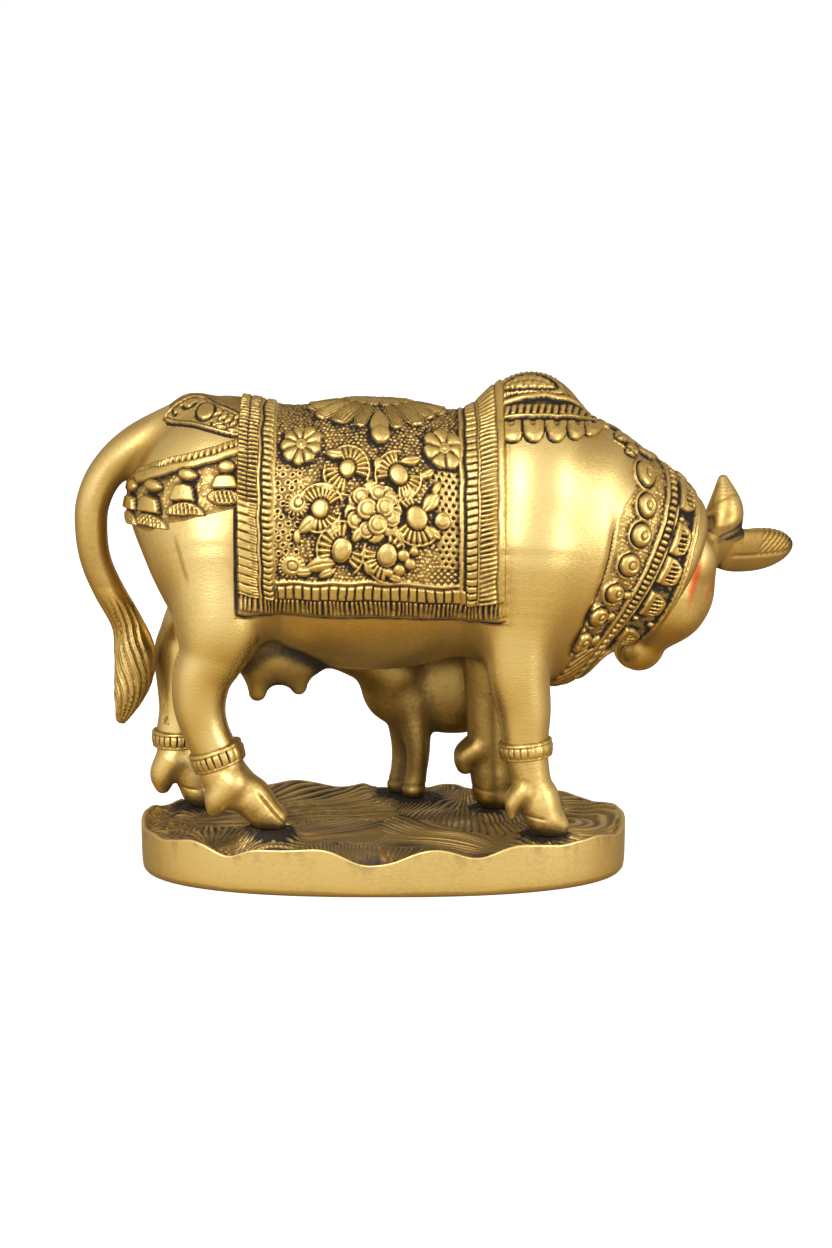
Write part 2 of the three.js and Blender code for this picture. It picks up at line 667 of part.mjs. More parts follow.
const calfMiddle = 30.3; // how far out the calf stands
const calfInnerLegs = calfMiddle - 3.5;
const calfOuterLegs = calfMiddle + 2.9;
const calfLeg = (x, y, hipX) => above(0, limb([
  [hipX, calfMiddle + (y - calfMiddle) * 0.4, 28, 5.4],
  [x + 0.5, y, 15, 3.4],
  [x, y, 7, 2.9],
  [x - 0.8, y, 2, 3.3],
], 2));
const calfForm = blend(
  3,
  egg([20, 30.5, 32], [20, 6.6, 14]),
  egg([33, 30.5, 34], [10, 6.6, 12.6]),
  egg([2.5, 29.6, 34], [9.5, 6.4, 12.5]),
  limb([[3, 29.5, 37, 7.5], [-7, 28, 42, 6.8], [-14, 24.2, 43.8, 5.2], [-19.5, 20, 43, 3.7]]),
  limb([[-6, 32, 47.5, 2.2], [-2.5, 35, 48, 2.2], [1.5, 36.5, 46.5, 1.4]]),
  limb([[40, 31, 42, 2.2], [43.6, 31, 36, 1.9], [44.2, 31, 28, 1.9], [43, 31, 23, 1.6]]),
  calfLeg(9.3, calfInnerLegs, 8),
  calfLeg(5, calfOuterLegs, 5),
  calfLeg(38.5, calfInnerLegs, 35),
  calfLeg(33.5, calfOuterLegs, 33),
);
const calfSolid = thinned(skinned(calfForm, [-26, 8, -2], [56, 41, 58], calfCell), calfTriangles);

// The plinth: an oval with a wavy rim. Its top is level round each hoof and lower elsewhere.

const soles = [
  ...Object.values(hooves).map(([x, y]) => [x + 1, y]),
  [9, calfInnerLegs],
  [4.5, calfOuterLegs],
  [38, calfInnerLegs],
  [33, calfOuterLegs],
].map(([x, y]) => [x * share, y * share]);
const reachBack = -hooves.leftHind[0] + 8.9; // to the heel of the rearmost hoof
const reachOut = calfOuterLegs + 3.3;
const halfLength = reachBack * share + plinthEnds;
const halfWidth = reachOut * share + plinthSides;
const rimDips = [[-94, 3.2], [-55, 1.6], [-132, 2], [-168, 1.4], [-18, 1.8], [30, 1.4], [75, 1.8], [118, 1.2], [155, 1.8]];

function plinthSolid() {
  const count = 54;
  const rings = [1, 0.93, 0.8, 0.62, 0.42, 0.2];
  const rimAt = (degrees) => rimWave - rimDips.reduce((sum, [place, depth]) => {
    const away = Math.abs(((degrees - place + 540) % 360) - 180);
    return sum + depth * Math.exp(-((away / 9) ** 2));
  }, 0);
  const heightAt = (x, y, reach, degrees) => {
    const nearest = Math.min(...soles.map(([a, b]) => Math.hypot(x - a, y - b)));
    const pad = THREE.MathUtils.smoothstep(padRadius * 1.6 - nearest, 0, padRadius * 0.5);
    const ground = -groundWave * (0.6 + 0.4 * Math.cos(x / 4.5 + y / 9));
    const rim = rimAt(degrees);
    if (rim > 0) return groundHeight + (reach === 1 ? rim * (1 - pad) : ground * (1 - pad));
    return groundHeight + ground * (1 - pad) * (1 - reach ** 8) + rim * reach ** 8;
  };
  const points = [];
  const outline = Array.from({ length: count }, (_, i) => {
    const angle = (2 * Math.PI * i) / count;
    const [c, s] = [Math.cos(angle), Math.sin(angle)];
    return [Math.sign(c) * Math.abs(c) ** 0.82, Math.sign(s) * Math.abs(s) ** 0.82, (angle * 180) / Math.PI];
  });
  rings.forEach((reach) => outline.forEach(([c, s, degrees]) => {
    const [x, y] = [c * halfLength * reach, s * halfWidth * reach];
    points.push(new THREE.Vector3(x, y, heightAt(x, y, reach, degrees)));
  }));
  [[-0.3, 8], [-wallDraft * 0.4, 2.2], [-wallDraft, 0]].forEach(([inset, z]) => outline.forEach(([c, s]) => {
    points.push(new THREE.Vector3(c * (halfLength + inset), s * (halfWidth + inset), z));
  }));
  const under = rings.length * count;
  const faces = [];
  const band = (upper, lower) => outline.forEach((_, i) => {
    const next = (i + 1) % count;
    faces.push([lower + i, lower + next, upper + next], [lower + i, upper + next, upper + i]);
  });
  for (let k = 0; k < rings.length - 1; k += 1) band((k + 1) * count, k * count);
  band(0, under);
  band(under, under + count);
  band(under + count, under + 2 * count);
  const top = points.push(new THREE.Vector3(0, 0, groundHeight - groundWave)) - 1;
  const bottom = points.push(new THREE.Vector3(0, 0, 0)) - 1;
  outline.forEach((_, i) => {
    const next = (i + 1) % count;
    faces.push([(rings.length - 1) * count + i, (rings.length - 1) * count + next, top]);
    faces.push([under + 2 * count + next, under + 2 * count + i, bottom]);
  });
  return solid(points, faces);
}

// The object.

function meshOf(name, made, material, scale, lift) {
  const { vertProperties, triVerts } = made.getMesh();
  const geometry = new THREE.BufferGeometry();
  geometry.setAttribute('position', new THREE.BufferAttribute(new Float32Array(vertProperties), 3));
  geometry.setIndex([...triVerts]);
  geometry.scale(scale, scale, scale);
  geometry.translate(0, 0, lift);
  geometry.computeVertexNormals();
  const mesh = new THREE.Mesh(geometry, material);
  mesh.name = name;
  return mesh;
}

const object = new THREE.Group();
object.add(
  meshOf('base', plinthSolid(), brass, 1, 0),
  meshOf('cow', cowSolid, brass, share, groundHeight + soleGap),
  meshOf('calf', calfSolid, dullBrass, share, groundHeight + soleGap),
);

export default object;
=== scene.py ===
"""Looks of the cast brass kamdhenu: the cow, her dress, her calf and the plinth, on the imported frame."""

import math

import bpy
import numpy as np
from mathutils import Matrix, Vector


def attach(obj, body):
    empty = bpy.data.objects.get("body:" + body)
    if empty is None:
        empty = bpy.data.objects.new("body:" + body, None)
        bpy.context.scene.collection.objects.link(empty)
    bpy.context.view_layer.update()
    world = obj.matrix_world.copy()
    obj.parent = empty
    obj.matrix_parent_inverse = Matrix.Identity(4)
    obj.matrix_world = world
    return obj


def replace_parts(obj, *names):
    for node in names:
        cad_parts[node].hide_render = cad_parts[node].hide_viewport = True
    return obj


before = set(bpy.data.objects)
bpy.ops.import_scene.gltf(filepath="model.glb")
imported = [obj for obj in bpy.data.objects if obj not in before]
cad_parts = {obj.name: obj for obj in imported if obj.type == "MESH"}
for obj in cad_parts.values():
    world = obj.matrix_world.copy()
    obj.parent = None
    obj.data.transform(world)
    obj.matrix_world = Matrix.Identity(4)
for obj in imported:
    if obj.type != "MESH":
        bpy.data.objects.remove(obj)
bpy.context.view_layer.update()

MM = 0.001
SOLE_HEIGHT = 12.6  # the cow and the calf stand this far above the plinth's underside
PLINTH_TOP = 12.5
random = np.random.default_rng(7)

# Camera, at the photograph's viewing angle: its place in metres, lens and sensor in millimetres.
CAMERA_PLACE = (0.00924, -0.7866, 0.2145)
CAMERA_TILT = 79.5
LENS, SENSOR_WIDTH = 82.4, 36
camera = bpy.data.objects.new("camera", bpy.data.cameras.new("camera"))
bpy.context.scene.collection.objects.link(camera)
camera.location = CAMERA_PLACE
camera.rotation_euler = (math.radians(CAMERA_TILT), 0, 0)
camera.data.sensor_width = SENSOR_WIDTH
camera.data.lens = LENS
bpy.context.scene.camera = camera
bpy.context.scene.view_settings.view_transform = "Standard"

# Forms. A form takes points (n, 3) in millimetres and gives their distance to its surface, negative inside.
FAR = 40.0


def culled(function, centre, reach):
    """Works the function out only for points near it, and calls the rest far."""
    centre = np.asarray(centre, np.float32)

    def form(points):
        values = np.full(len(points), FAR, np.float32)
        near = np.flatnonzero(np.abs(points - centre).max(axis=1) < reach)
        if len(near):
            values[near] = function(points[near])
        return values

    return form


def egg(centre, radii, axes=np.eye(3)):
    """An ellipsoid; the axes are the rows in which its radii are measured."""
    centre = np.array(centre, np.float32)
    radii = np.array(radii, np.float32)
    axes = np.array(axes, np.float32)

    def distance(points):
        scaled = (points - centre) @ axes.T / radii
        reach = np.sqrt((scaled * scaled).sum(axis=1))
        slope = np.sqrt(((scaled / radii) ** 2).sum(axis=1)) + 1e-9
        return np.where(reach > 1e-6, reach * (reach - 1) / slope, -radii.min())

    return culled(distance, centre, radii.max() + 14)


def soft_min(a, b, softness):
    """The lesser of two distances, which rounds the join of two forms."""
    near = np.maximum(softness - np.abs(a - b), 0)
    return np.minimum(a, b) - near * near / (4 * softness)


def blend(softness, *forms):
    def form(points):
        values = forms[0](points)
        for other in forms[1:]:
            values = soft_min(values, other(points), softness)
        return values

    return form


def smooth_line(stations, steps=8):
    """Points on a Catmull-Rom curve through the stations, whose last number is the radius."""
    knots = np.array([stations[0], *stations, stations[-1]], float)
    line = []
    for before, a, b, after in zip(knots, knots[1:], knots[2:], knots[3:]):
        for t in np.arange(steps) / steps:
            line.append(0.5 * (
                2 * a + (b - before) * t + (2 * before - 5 * a + 4 * b - after) * t**2
                + (3 * a - before - 3 * b + after) * t**3
            ))
    return np.array([*line, knots[-1]], np.float32)


def limb(stations, softness=2):
    """A smooth round limb through stations [x, y, z, radius]."""
    line = smooth_line(stations) if len(stations) > 2 else np.array(stations, np.float32)
    line[:, 3] += softness * 0.1
    low = (line[:, :3] - line[:, 3:]).min(axis=0) - 10
    high = (line[:, :3] + line[:, 3:]).max(axis=0) + 10

    def form(points):
        values = np.full(len(points), FAR, np.float32)
        near = np.flatnonzero(((points > low) & (points < high)).all(axis=1))
        some = points[near]
        least = np.full(len(near), FAR, np.float32)
        for start, end in zip(line, line[1:]):
            along = end[:3] - start[:3]
            offset = some - start[:3]
            t = np.clip(offset @ along / (along @ along), 0, 1)
            offset -= t[:, None] * along
            gap = np.sqrt(np.einsum("ij,ij->i", offset, offset)) - start[3] - t * (end[3] - start[3])
            least = np.minimum(least, gap)
        values[near] = least
        return values

    return form


def capped(softness, cap, form):
    """The form without what lies outside the cap, with a rounded edge."""
    return lambda points: -soft_min(-form(points), -cap(points), softness)


def above(height, form):
    return lambda points: np.maximum(form(points), height - points[:, 2])


def tilted(degrees):
    c, s = math.cos(math.radians(degrees)), math.sin(math.radians(degrees))
    return [[c, 0, -s], [0, 1, 0], [s, 0, c]]


def unit(vector):
    vector = np.asarray(vector, float)
    return vector / np.linalg.norm(vector, axis=-1, keepdims=True)


def smoothstep(low, high, value):
    t = np.clip((value - low) / (high - low), 0, 1)
    return t * t * (3 - 2 * t)


def rounded(t, power=2):
    """The height of a rounded form: 1 in its middle, and 0 at its edge, where t is 1."""
    return np.sqrt(np.clip(1 - t**power, 0, 1))


def groove(away, width, depth):
    """The depth of a rounded groove, whole where away is 0."""
    return depth * np.exp(-((away / width) ** 2))


def from_point(u, v, at, stretch=1.0):
    """How far a place lies from a point each way, for a form that is drawn out along v."""
    return u - at[0], (v - at[1]) / stretch


# The cow, as in the solids, with a few forms of the rump, head and feet drawn closer.


def rump_cut(points):
    """The slope behind and below which the haunches are cut slimmer."""
    return -(points[:, 0] + 64.3) * 0.9 - (points[:, 2] - 73.2) * 0.43


trunk = blend(
    9,
    egg([-4, 0, 81], [52, 28.5, 37.5]),
    capped(3, rump_cut, egg([-43, 0, 87], [28, 25, 32.5])),
    egg([40, 0, 82], [28, 27, 38.5]),
    egg([47, 0, 66], [17, 17, 26]),
)
hump = egg([41, 0, 111.6], [13.8, 10, 14.3])


def neck_cut(points):
    """Where the neck ends and the head begins: above 0 on the head's side."""
    return (points[:, 0] - 81) * 0.78 + (points[:, 1] - 4) * 0.4 - (points[:, 2] - 70) * 0.47


neck = capped(4, neck_cut, blend(
    8,
    egg([55, 0, 81], [19, 22, 31.2], tilted(10)),
    egg([66, 3, 76.5], [18, 19, 26.5], tilted(24)),
    egg([77, 7, 71], [17, 17, 22.5], tilted(30)),
))
udder = blend(
    3,
    egg([-29, 0, 48], [14, 13, 9]),
    *[part for y in (-6.5, 6.5) for part in (
        limb([[-34.5, y, 44, 4.2], [-35, y, 38, 2.3]]),
        limb([[-24.5, y, 45, 4.4], [-23.4, y, 39.5, 2]]),
    )],
)
tail_path = [
    [-52, 0, 113, 7], [-67, 0, 106.5, 6], [-76, 0, 99.5, 4.8], [-80.4, 0, 91, 4.4],
    [-81.2, 0.5, 82.5, 4.2], [-80.2, 1.5, 74, 4], [-77.2, 3, 65.8, 4], [-72.4, 6, 55.5, 4.2],
    [-70.4, 7, 47, 5.6], [-70.6, 7, 41, 5.4], [-72, 6.5, 35, 4.2], [-74.2, 6, 28, 1.6],
]
tail = limb(tail_path, 3)

# For each leg: the middle of its hoof, its ankle, and the stations of the leg from the hip down.
HOOVES = {
    "right_hind": (-35.5, -18.5), "left_hind": (-54.5, 16.5),
    "right_fore": (43.8, -17.5), "left_fore": (31, 13.8),
}
ANKLES = {
    "right_hind": (-45.6, -18, 22.5), "left_hind": (-59.3, 16.5, 20),
    "right_fore": (39.5, -17, 24.5), "left_fore": (30.2, 13.8, 19),
}
SHANKS = {
    "right_hind": [
        [-45, -10, 78, 17], [-44.4, -16, 61, 12.6], [-46.2, -18, 52, 9.2], [-49.4, -18, 45, 8],
        [-50.3, -18, 37, 7], [-48.8, -18, 30, 6.2], [*ANKLES["right_hind"], 6], [-43, -18, 16, 6.4],
    ],
    "left_hind": [
        [-45, 10, 78, 17], [-48, 15.5, 61, 12.6], [-55, 16.5, 51, 8.6], [-58.2, 16.5, 44.5, 7.4],
        [-58.6, 16.5, 36, 6.3], [-58.6, 16.5, 28, 5.8], [*ANKLES["left_hind"], 6], [-58, 16.5, 13, 5.8],
    ],
    "right_fore": [
        [38, -12, 79, 16], [37.4, -16, 57, 10.2], [37.6, -17, 45, 8.4], [39, -17, 35, 7.2],
        [*ANKLES["right_fore"], 6.0], [41.2, -17, 14.5, 5.3],
    ],
    "left_fore": [
        [36, 12, 79, 16], [33, 13.5, 57, 9.8], [30.6, 13.8, 45, 8], [30, 13.8, 33, 6.6],
        [*ANKLES["left_fore"], 5.9], [30.2, 13.8, 12, 5.4],
    ],
}
# For each foot: the height of its sole, how far its dewclaws stand to each side, and the stations of
# the shank's end, the toe and a dewclaw. A station is how far ahead of the hoof, how high and how thick.
FEET = {
    "right_hind": (
        2.3, 2.4, [(-0.6, 10.5, 5)], [(-0.8, 11, 5.3), (2.6, 6.8, 4.7), (5.5, 5, 3.5)],
        [(-6, 15.5, 4.6), (-9.4, 11.6, 3.8), (-10.8, 8, 2.1)],
    ),
    "left_hind": (
        0, 2.4, [(-0.4, 9, 5)], [(0, 9, 4.9), (1, 4.4, 4.8), (3.4, 2.4, 3.3)],
        [(-6.4, 14, 4.6), (-8.8, 9.8, 3.8), (-9.2, 6.2, 2.1)],
    ),
    "right_fore": (
        0, 2.8, [(-0.4, 9, 5)], [(-0.4, 10.5, 5.2), (1, 5.2, 5.2), (4.6, 2.6, 3.2)],
        [(-5, 12.8, 2.8), (-7.6, 9.4, 2.1), (-8.1, 6.2, 1.2)],
    ),
    "left_fore": (
        0, 2.6, [(-0.4, 9, 5)], [(-0.2, 10, 5), (-0.2, 4.6, 4.9), (2.6, 2.6, 3.4)],
        [(-4.2, 17.5, 3.8), (-7.4, 15.2, 3.2), (-7.6, 13, 2.5)],
    ),
}


def leg(name):
    """A leg with a wedge of a hoof and, behind it, the dewclaws that hang clear of the ground."""
    x, y = HOOVES[name]
    sole, apart, shank_end, toe, claw = FEET[name]

    def stations(part, side=0):
        return [[x + ahead, y + side, height, radius] for ahead, height, radius in part]

    claws = [limb(stations(claw, side)) for side in (-apart, apart)]
    shank = limb(SHANKS[name] + stations(shank_end))
    return above(sole, blend(1.3, shank, limb(stations(toe)), *claws))


legs = blend(3, *[leg(name) for name in HOOVES])

POLL = np.array([88.5, 18, 76])
FACE_DOWN = unit([-0.43, 0.22, -0.87])
EAR_SIDE = np.array([0.88, 0.44, 0.17])
TO_EAR = unit(EAR_SIDE - FACE_DOWN * (EAR_SIDE @ FACE_DOWN))
TO_FRONT = unit(np.cross(TO_EAR, FACE_DOWN))
HEAD_AXES = [TO_EAR, TO_FRONT, FACE_DOWN]


def on_head(down, side, front):
    return list(POLL + FACE_DOWN * down + TO_EAR * side + TO_FRONT * front)


def head_coordinates(points):
    offset = points - POLL
    return offset @ FACE_DOWN, offset @ TO_EAR, offset @ TO_FRONT


# Eggs of an ear: place and reach as shares of its length, then thickness and breadth.
EAR_EGGS = [(0.5, 0.5, 2.2, 6.4), (0.46, 0.42, 2.3, 6.9), (0.65, 0.32, 2.1, 6.0)]


def ear(root, tip):
    root, tip = np.array(root), np.array(tip)
    along = unit(tip - root)
    through = unit(np.cross(FACE_DOWN, along))
    axes = [along, through, unit(np.cross(through, along))]
    length = np.linalg.norm(tip - root)
    return blend(2, *[
        egg(root + place * (tip - root), [length * reach, thickness, breadth], axes)
        for place, reach, thickness, breadth in EAR_EGGS
    ])


def horn(side, middle, tip):
    root = [[*on_head(1.5, side * 4.5, 0), 5.2], [*on_head(-4, side * 7.8, 1.5), 5.4]]
    return limb([*root, [*middle, 5.0], [*tip, 1.4]])


skull = blend(
    4,
    egg(on_head(7, 0, -1), [9, 8.5, 11], HEAD_AXES),
    limb([[*on_head(14, 0, 0), 7.4], [*on_head(32, 0, 0.5), 6]]),
    egg(on_head(19, 0, -6), [7, 7, 9.5], HEAD_AXES),
    *[egg(on_head(16.5, side * 4.2, -4.6), [6.7, 7, 10.5], HEAD_AXES) for side in (1, -1)],
    limb([[*on_head(20, 0, -6), 6], [*on_head(32.5, 0, -3), 4.4]]),
    egg(on_head(36.6, 0.9, 0.2), [7.1, 6.7, 6.2], HEAD_AXES),
)
head_sides = [blend(
    1.2,
    egg(on_head(12.5, side * 7.6, 3.6), [2.8, 3, 3.4], HEAD_AXES),
    egg(on_head(37.6, side * 4.2, 5.2), [2.2, 2, 2], HEAD_AXES),
) for side in (1, -1)]
head = blend(
    1.5, skull,
    ear(on_head(0.5, 4, -3), on_head(-6.4, 33.2, -3)),
    ear(on_head(2.5, -6, -2), on_head(6, -21, 17)),
    horn(1, on_head(-10.4, 8.7, 4), on_head(-17.3, 7.1, 9)),
    horn(-1, on_head(-6, -11, 5), on_head(-9.5, -11.5, 12)),
    *head_sides,
)
dressed = blend(5, trunk, hump, legs, neck)
cow = blend(3, blend(5, dressed, head), udder, tail)

CALF_MIDDLE = 30.3


def calf_leg(x, y, hip_x):
    hip_y = CALF_MIDDLE + (y - CALF_MIDDLE) * 0.4
    stations = [[hip_x, hip_y, 28, 5.4], [x + 0.5, y, 15, 3.4], [x, y, 7, 2.9], [x - 0.8, y, 2, 3.3]]
    return above(0, limb(stations, 2))


# Each leg of the calf: its place along her, how far it stands aside, and the place of its hip.
CALF_LEGS = [(9.3, -3.5, 8), (5, 2.9, 5), (38.5, -3.5, 35), (33.5, 2.9, 33)]
calf = blend(
    3,
    egg([20, 30.5, 32], [20, 6.6, 14]),
    egg([33, 30.5, 34], [10, 6.6, 12.6]),
    egg([2.5, 29.6, 34], [9.5, 6.4, 12.5]),
    limb([[3, 29.5, 37, 7.5], [-7, 28, 42, 6.8], [-14, 24.2, 43.8, 5.2], [-19.5, 20, 43, 3.7]]),
    limb([[-6, 32, 47.5, 2.2], [-2.5, 34.8, 48, 2.2], [1.5, 36, 46.5, 1.4]]),
    limb([[40, 31, 42, 2.2], [43.6, 31, 36, 1.9], [44.2, 31, 28, 1.9], [43, 31, 23, 1.6]]),
    *[calf_leg(x, CALF_MIDDLE + side, hip_x) for x, side, hip_x in CALF_LEGS],
)


def slope_of(form, points, step=0.15):
    """The form's gradient, from points a small step to each side."""
    slope = np.empty((len(points), 3), np.float32)
    for axis in range(3):
        offset = np.zeros(3, np.float32)
        offset[axis] = step
        slope[:, axis] = form(points + offset) - form(points - offset)
    return slope / (2 * step)


BATCH = 20000  # blocks of a grid that are worked out at once


def grid_values(form, low, counts, cell, block=4):
    """The form on a grid, worked out only in the blocks that its surface can pass through."""
    low = np.asarray(low, np.float32)
    blocks = [-(-n // block) for n in counts]
    middles = [low[a] + (np.arange(blocks[a]) * block + (block - 1) / 2) * cell for a in range(3)]
    centres = np.stack(np.meshgrid(*middles, indexing="ij"), -1).reshape(-1, 3).astype(np.float32)
    coarse = form(centres)
    near = np.flatnonzero(np.abs(coarse) < block * cell * 1.6)
    values = np.repeat(np.sign(coarse)[:, None] * FAR, block**3, axis=1).astype(np.float32)
    steps = (np.arange(block) - (block - 1) / 2) * cell
    inner = np.stack(np.meshgrid(steps, steps, steps, indexing="ij"), -1).reshape(-1, 3).astype(np.float32)
    for start in range(0, len(near), BATCH):
        some = near[start:start + BATCH]
        points = (centres[some][:, None, :] + inner[None]).reshape(-1, 3)
        values[some] = form(points).reshape(len(some), -1)
    values = values.reshape(*blocks, block, block, block).transpose(0, 3, 1, 4, 2, 5)
    values = values.reshape([n * block for n in blocks])
    return values[:counts[0], :counts[1], :counts[2]]


CORNERS = [(i, j, k) for i in (0, 1) for j in (0, 1) for k in (0, 1)]
EDGES = [
    (a, b) for a in range(8) for b in range(a + 1, 8)
    if sum(np.abs(np.subtract(CORNERS[a], CORNERS[b]))) == 1
]


def skin(form, low, high, cell, keep=None, softness=0.15):
    """A mesh of quads on the form's surface: points, faces and outward normals."""
    low = np.asarray(low, np.float32)
    counts = [int(math.ceil((h - l) / cell)) + 1 for l, h in zip(low, high)]
    values = grid_values(form, low, counts, cell)
    inside = values < 0
    total = np.zeros([n - 1 for n in counts], np.int8)
    for i, j, k in CORNERS:
        total += inside[i:counts[0] - 1 + i, j:counts[1] - 1 + j, k:counts[2] - 1 + k]
    cells = np.argwhere((total > 0) & (total < 8))
    number = np.full(total.shape, -1, np.int32)
    number[tuple(cells.T)] = np.arange(len(cells))
    corner_values = np.stack([values[tuple((cells + corner).T)] for corner in CORNERS], 1)
    sums = np.zeros((len(cells), 3))
    crossings = np.zeros(len(cells))
    for a, b in EDGES:
        va, vb = corner_values[:, a], corner_values[:, b]
        crossed = (va < 0) != (vb < 0)
        t = np.where(crossed, va / np.where(va == vb, 1, va - vb), 0)
        place = np.array(CORNERS[a]) + t[:, None] * (np.array(CORNERS[b]) - CORNERS[a])
        sums += place * crossed[:, None]
        crossings += crossed
    points = (low + (cells + sums / crossings[:, None]) * cell).astype(np.float32)
    faces = []
    for axis in range(3):
        u, v = (axis + 1) % 3, (axis + 2) % 3
        ahead = np.swapaxes(inside, 0, axis)
        changed = np.swapaxes(ahead[1:] != ahead[:-1], 0, axis)
        at = np.argwhere(changed)
        at = at[(at[:, u] > 0) & (at[:, v] > 0) & (at[:, u] < counts[u] - 1) & (at[:, v] < counts[v] - 1)]
        step_u, step_v = np.eye(3, dtype=int)[u], np.eye(3, dtype=int)[v]
        around = [(1, 1), (0, 1), (0, 0), (1, 0)]
        quad = np.stack([number[tuple((at - du * step_u - dv * step_v).T)] for du, dv in around], 1)
        outward = inside[tuple(at.T)]
        faces.append(np.where(outward[:, None], quad, quad[:, ::-1]))
    faces = np.concatenate(faces)
    if keep is not None:
        faces = faces[keep(points[faces].mean(axis=1))]
    used, faces = np.unique(faces, return_inverse=True)
    faces = faces.reshape(-1, 4)
    points = points[used]
    for _ in range(2):
        slope = slope_of(form, points)
        length = np.maximum((slope * slope).sum(axis=1), 0.2)
        move = np.clip(form(points) / length, -0.4 * cell, 0.4 * cell)
        points = points - slope * move[:, None]
    slope = slope_of(form, points, softness)
    return points, faces, unit(slope + 1e-9)


def quads(rows, columns, rows_close=False, columns_close=False):
    """The faces between the points of a grid, which may close on itself either way."""
    number = np.arange(rows * columns).reshape(rows, columns)
    below = np.roll(number, -1, axis=0)
    faces = np.stack([number, below, np.roll(below, -1, axis=1), np.roll(number, -1, axis=1)], -1)
    faces = faces if rows_close else faces[:-1]
    faces = faces if columns_close else faces[:, :-1]
    return faces.reshape(-1, 4)


def make(name, points, faces, material, normals=None, lift=SOLE_HEIGHT, attributes=None):
    """A Blender mesh from millimetre arrays, riding on the frame's one body."""
    mesh = bpy.data.meshes.new(name)
    points = np.asarray(points, np.float64) + [0, 0, lift]
    faces = np.asarray(faces)
    mesh.vertices.add(len(points))
    mesh.vertices.foreach_set("co", (points * MM).ravel())
    mesh.loops.add(faces.size)
    mesh.loops.foreach_set("vertex_index", faces.ravel().astype(np.int32))
    mesh.polygons.add(len(faces))
    mesh.polygons.foreach_set("loop_start", np.arange(len(faces), dtype=np.int32) * faces.shape[1])
    mesh.update(calc_edges=True)
    mesh.polygons.foreach_set("use_smooth", np.ones(len(faces), bool))
    for key, values in (attributes or {}).items():
        layer = mesh.attributes.new(key, "FLOAT", "POINT")
        layer.data.foreach_set("value", np.asarray(values, np.float32))
    mesh.materials.append(material)
    if normals is not None:
        mesh.normals_split_custom_set_from_vertices(normals.astype(float).tolist())
    piece = bpy.data.objects.new(name, mesh)
    bpy.context.scene.collection.objects.link(piece)
    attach(piece, "root")
    return piece


def hollowness(form, points, normals):
    """How far a point lies in a corner, 0 on open surfaces and 1 deep in a crease."""
    dark = np.zeros(len(points))
    for reach in (0.8, 1.8, 3.5):
        gap = form((points + normals * reach).astype(np.float32))
        dark += np.clip(1 - gap / reach, 0, 1)
    return np.clip(dark / 3 * 2.2, 0, 1)


class Nodes:
    """Short ways to add and join the nodes of one material or sky."""

    def __init__(self, owner):
        owner.use_nodes = True
        self.nodes, self.links = owner.node_tree.nodes, owner.node_tree.links

    def feed(self, socket, value):
        """Links an output to the socket, or sets a plain value."""
        if isinstance(value, bpy.types.NodeSocket):
            self.links.new(value, socket)
        else:
            socket.default_value = value

    def add(self, kind, *values, **named):
        """A new node, with its first inputs fed in order and others by name."""
        node = self.nodes.new(kind)
        for socket, value in zip(node.inputs, values):
            self.feed(socket, value)
        for key, value in named.items():
            self.feed(node.inputs[key], value)
        return node

    def math(self, operation, *values, clamp=False):
        node = self.add("ShaderNodeMath", *values)
        node.operation = operation
        node.use_clamp = clamp
        return node.outputs[0]

    def ramp(self, value, stops):
        node = self.add("ShaderNodeValToRGB", value)
        while len(node.color_ramp.elements) < len(stops):
            node.color_ramp.elements.new(0.5)
        for element, (position, color) in zip(node.color_ramp.elements, stops):
            element.position = position
            element.color = (*color, 1)
        return node.outputs["Color"]

    def mix(self, amount, first, second, way="MIX"):
        """Two colors mixed. Inputs 6 and 7 are the color sockets of a Mix node."""
        node = self.add("ShaderNodeMix", amount)
        node.data_type = "RGBA"
        node.blend_type = way
        self.feed(node.inputs[6], first)
        self.feed(node.inputs[7], second)
        return node.outputs[2]

    def attribute(self, name):
        node = self.add("ShaderNodeAttribute")
        node.attribute_name = name
        return node.outputs["Fac"]
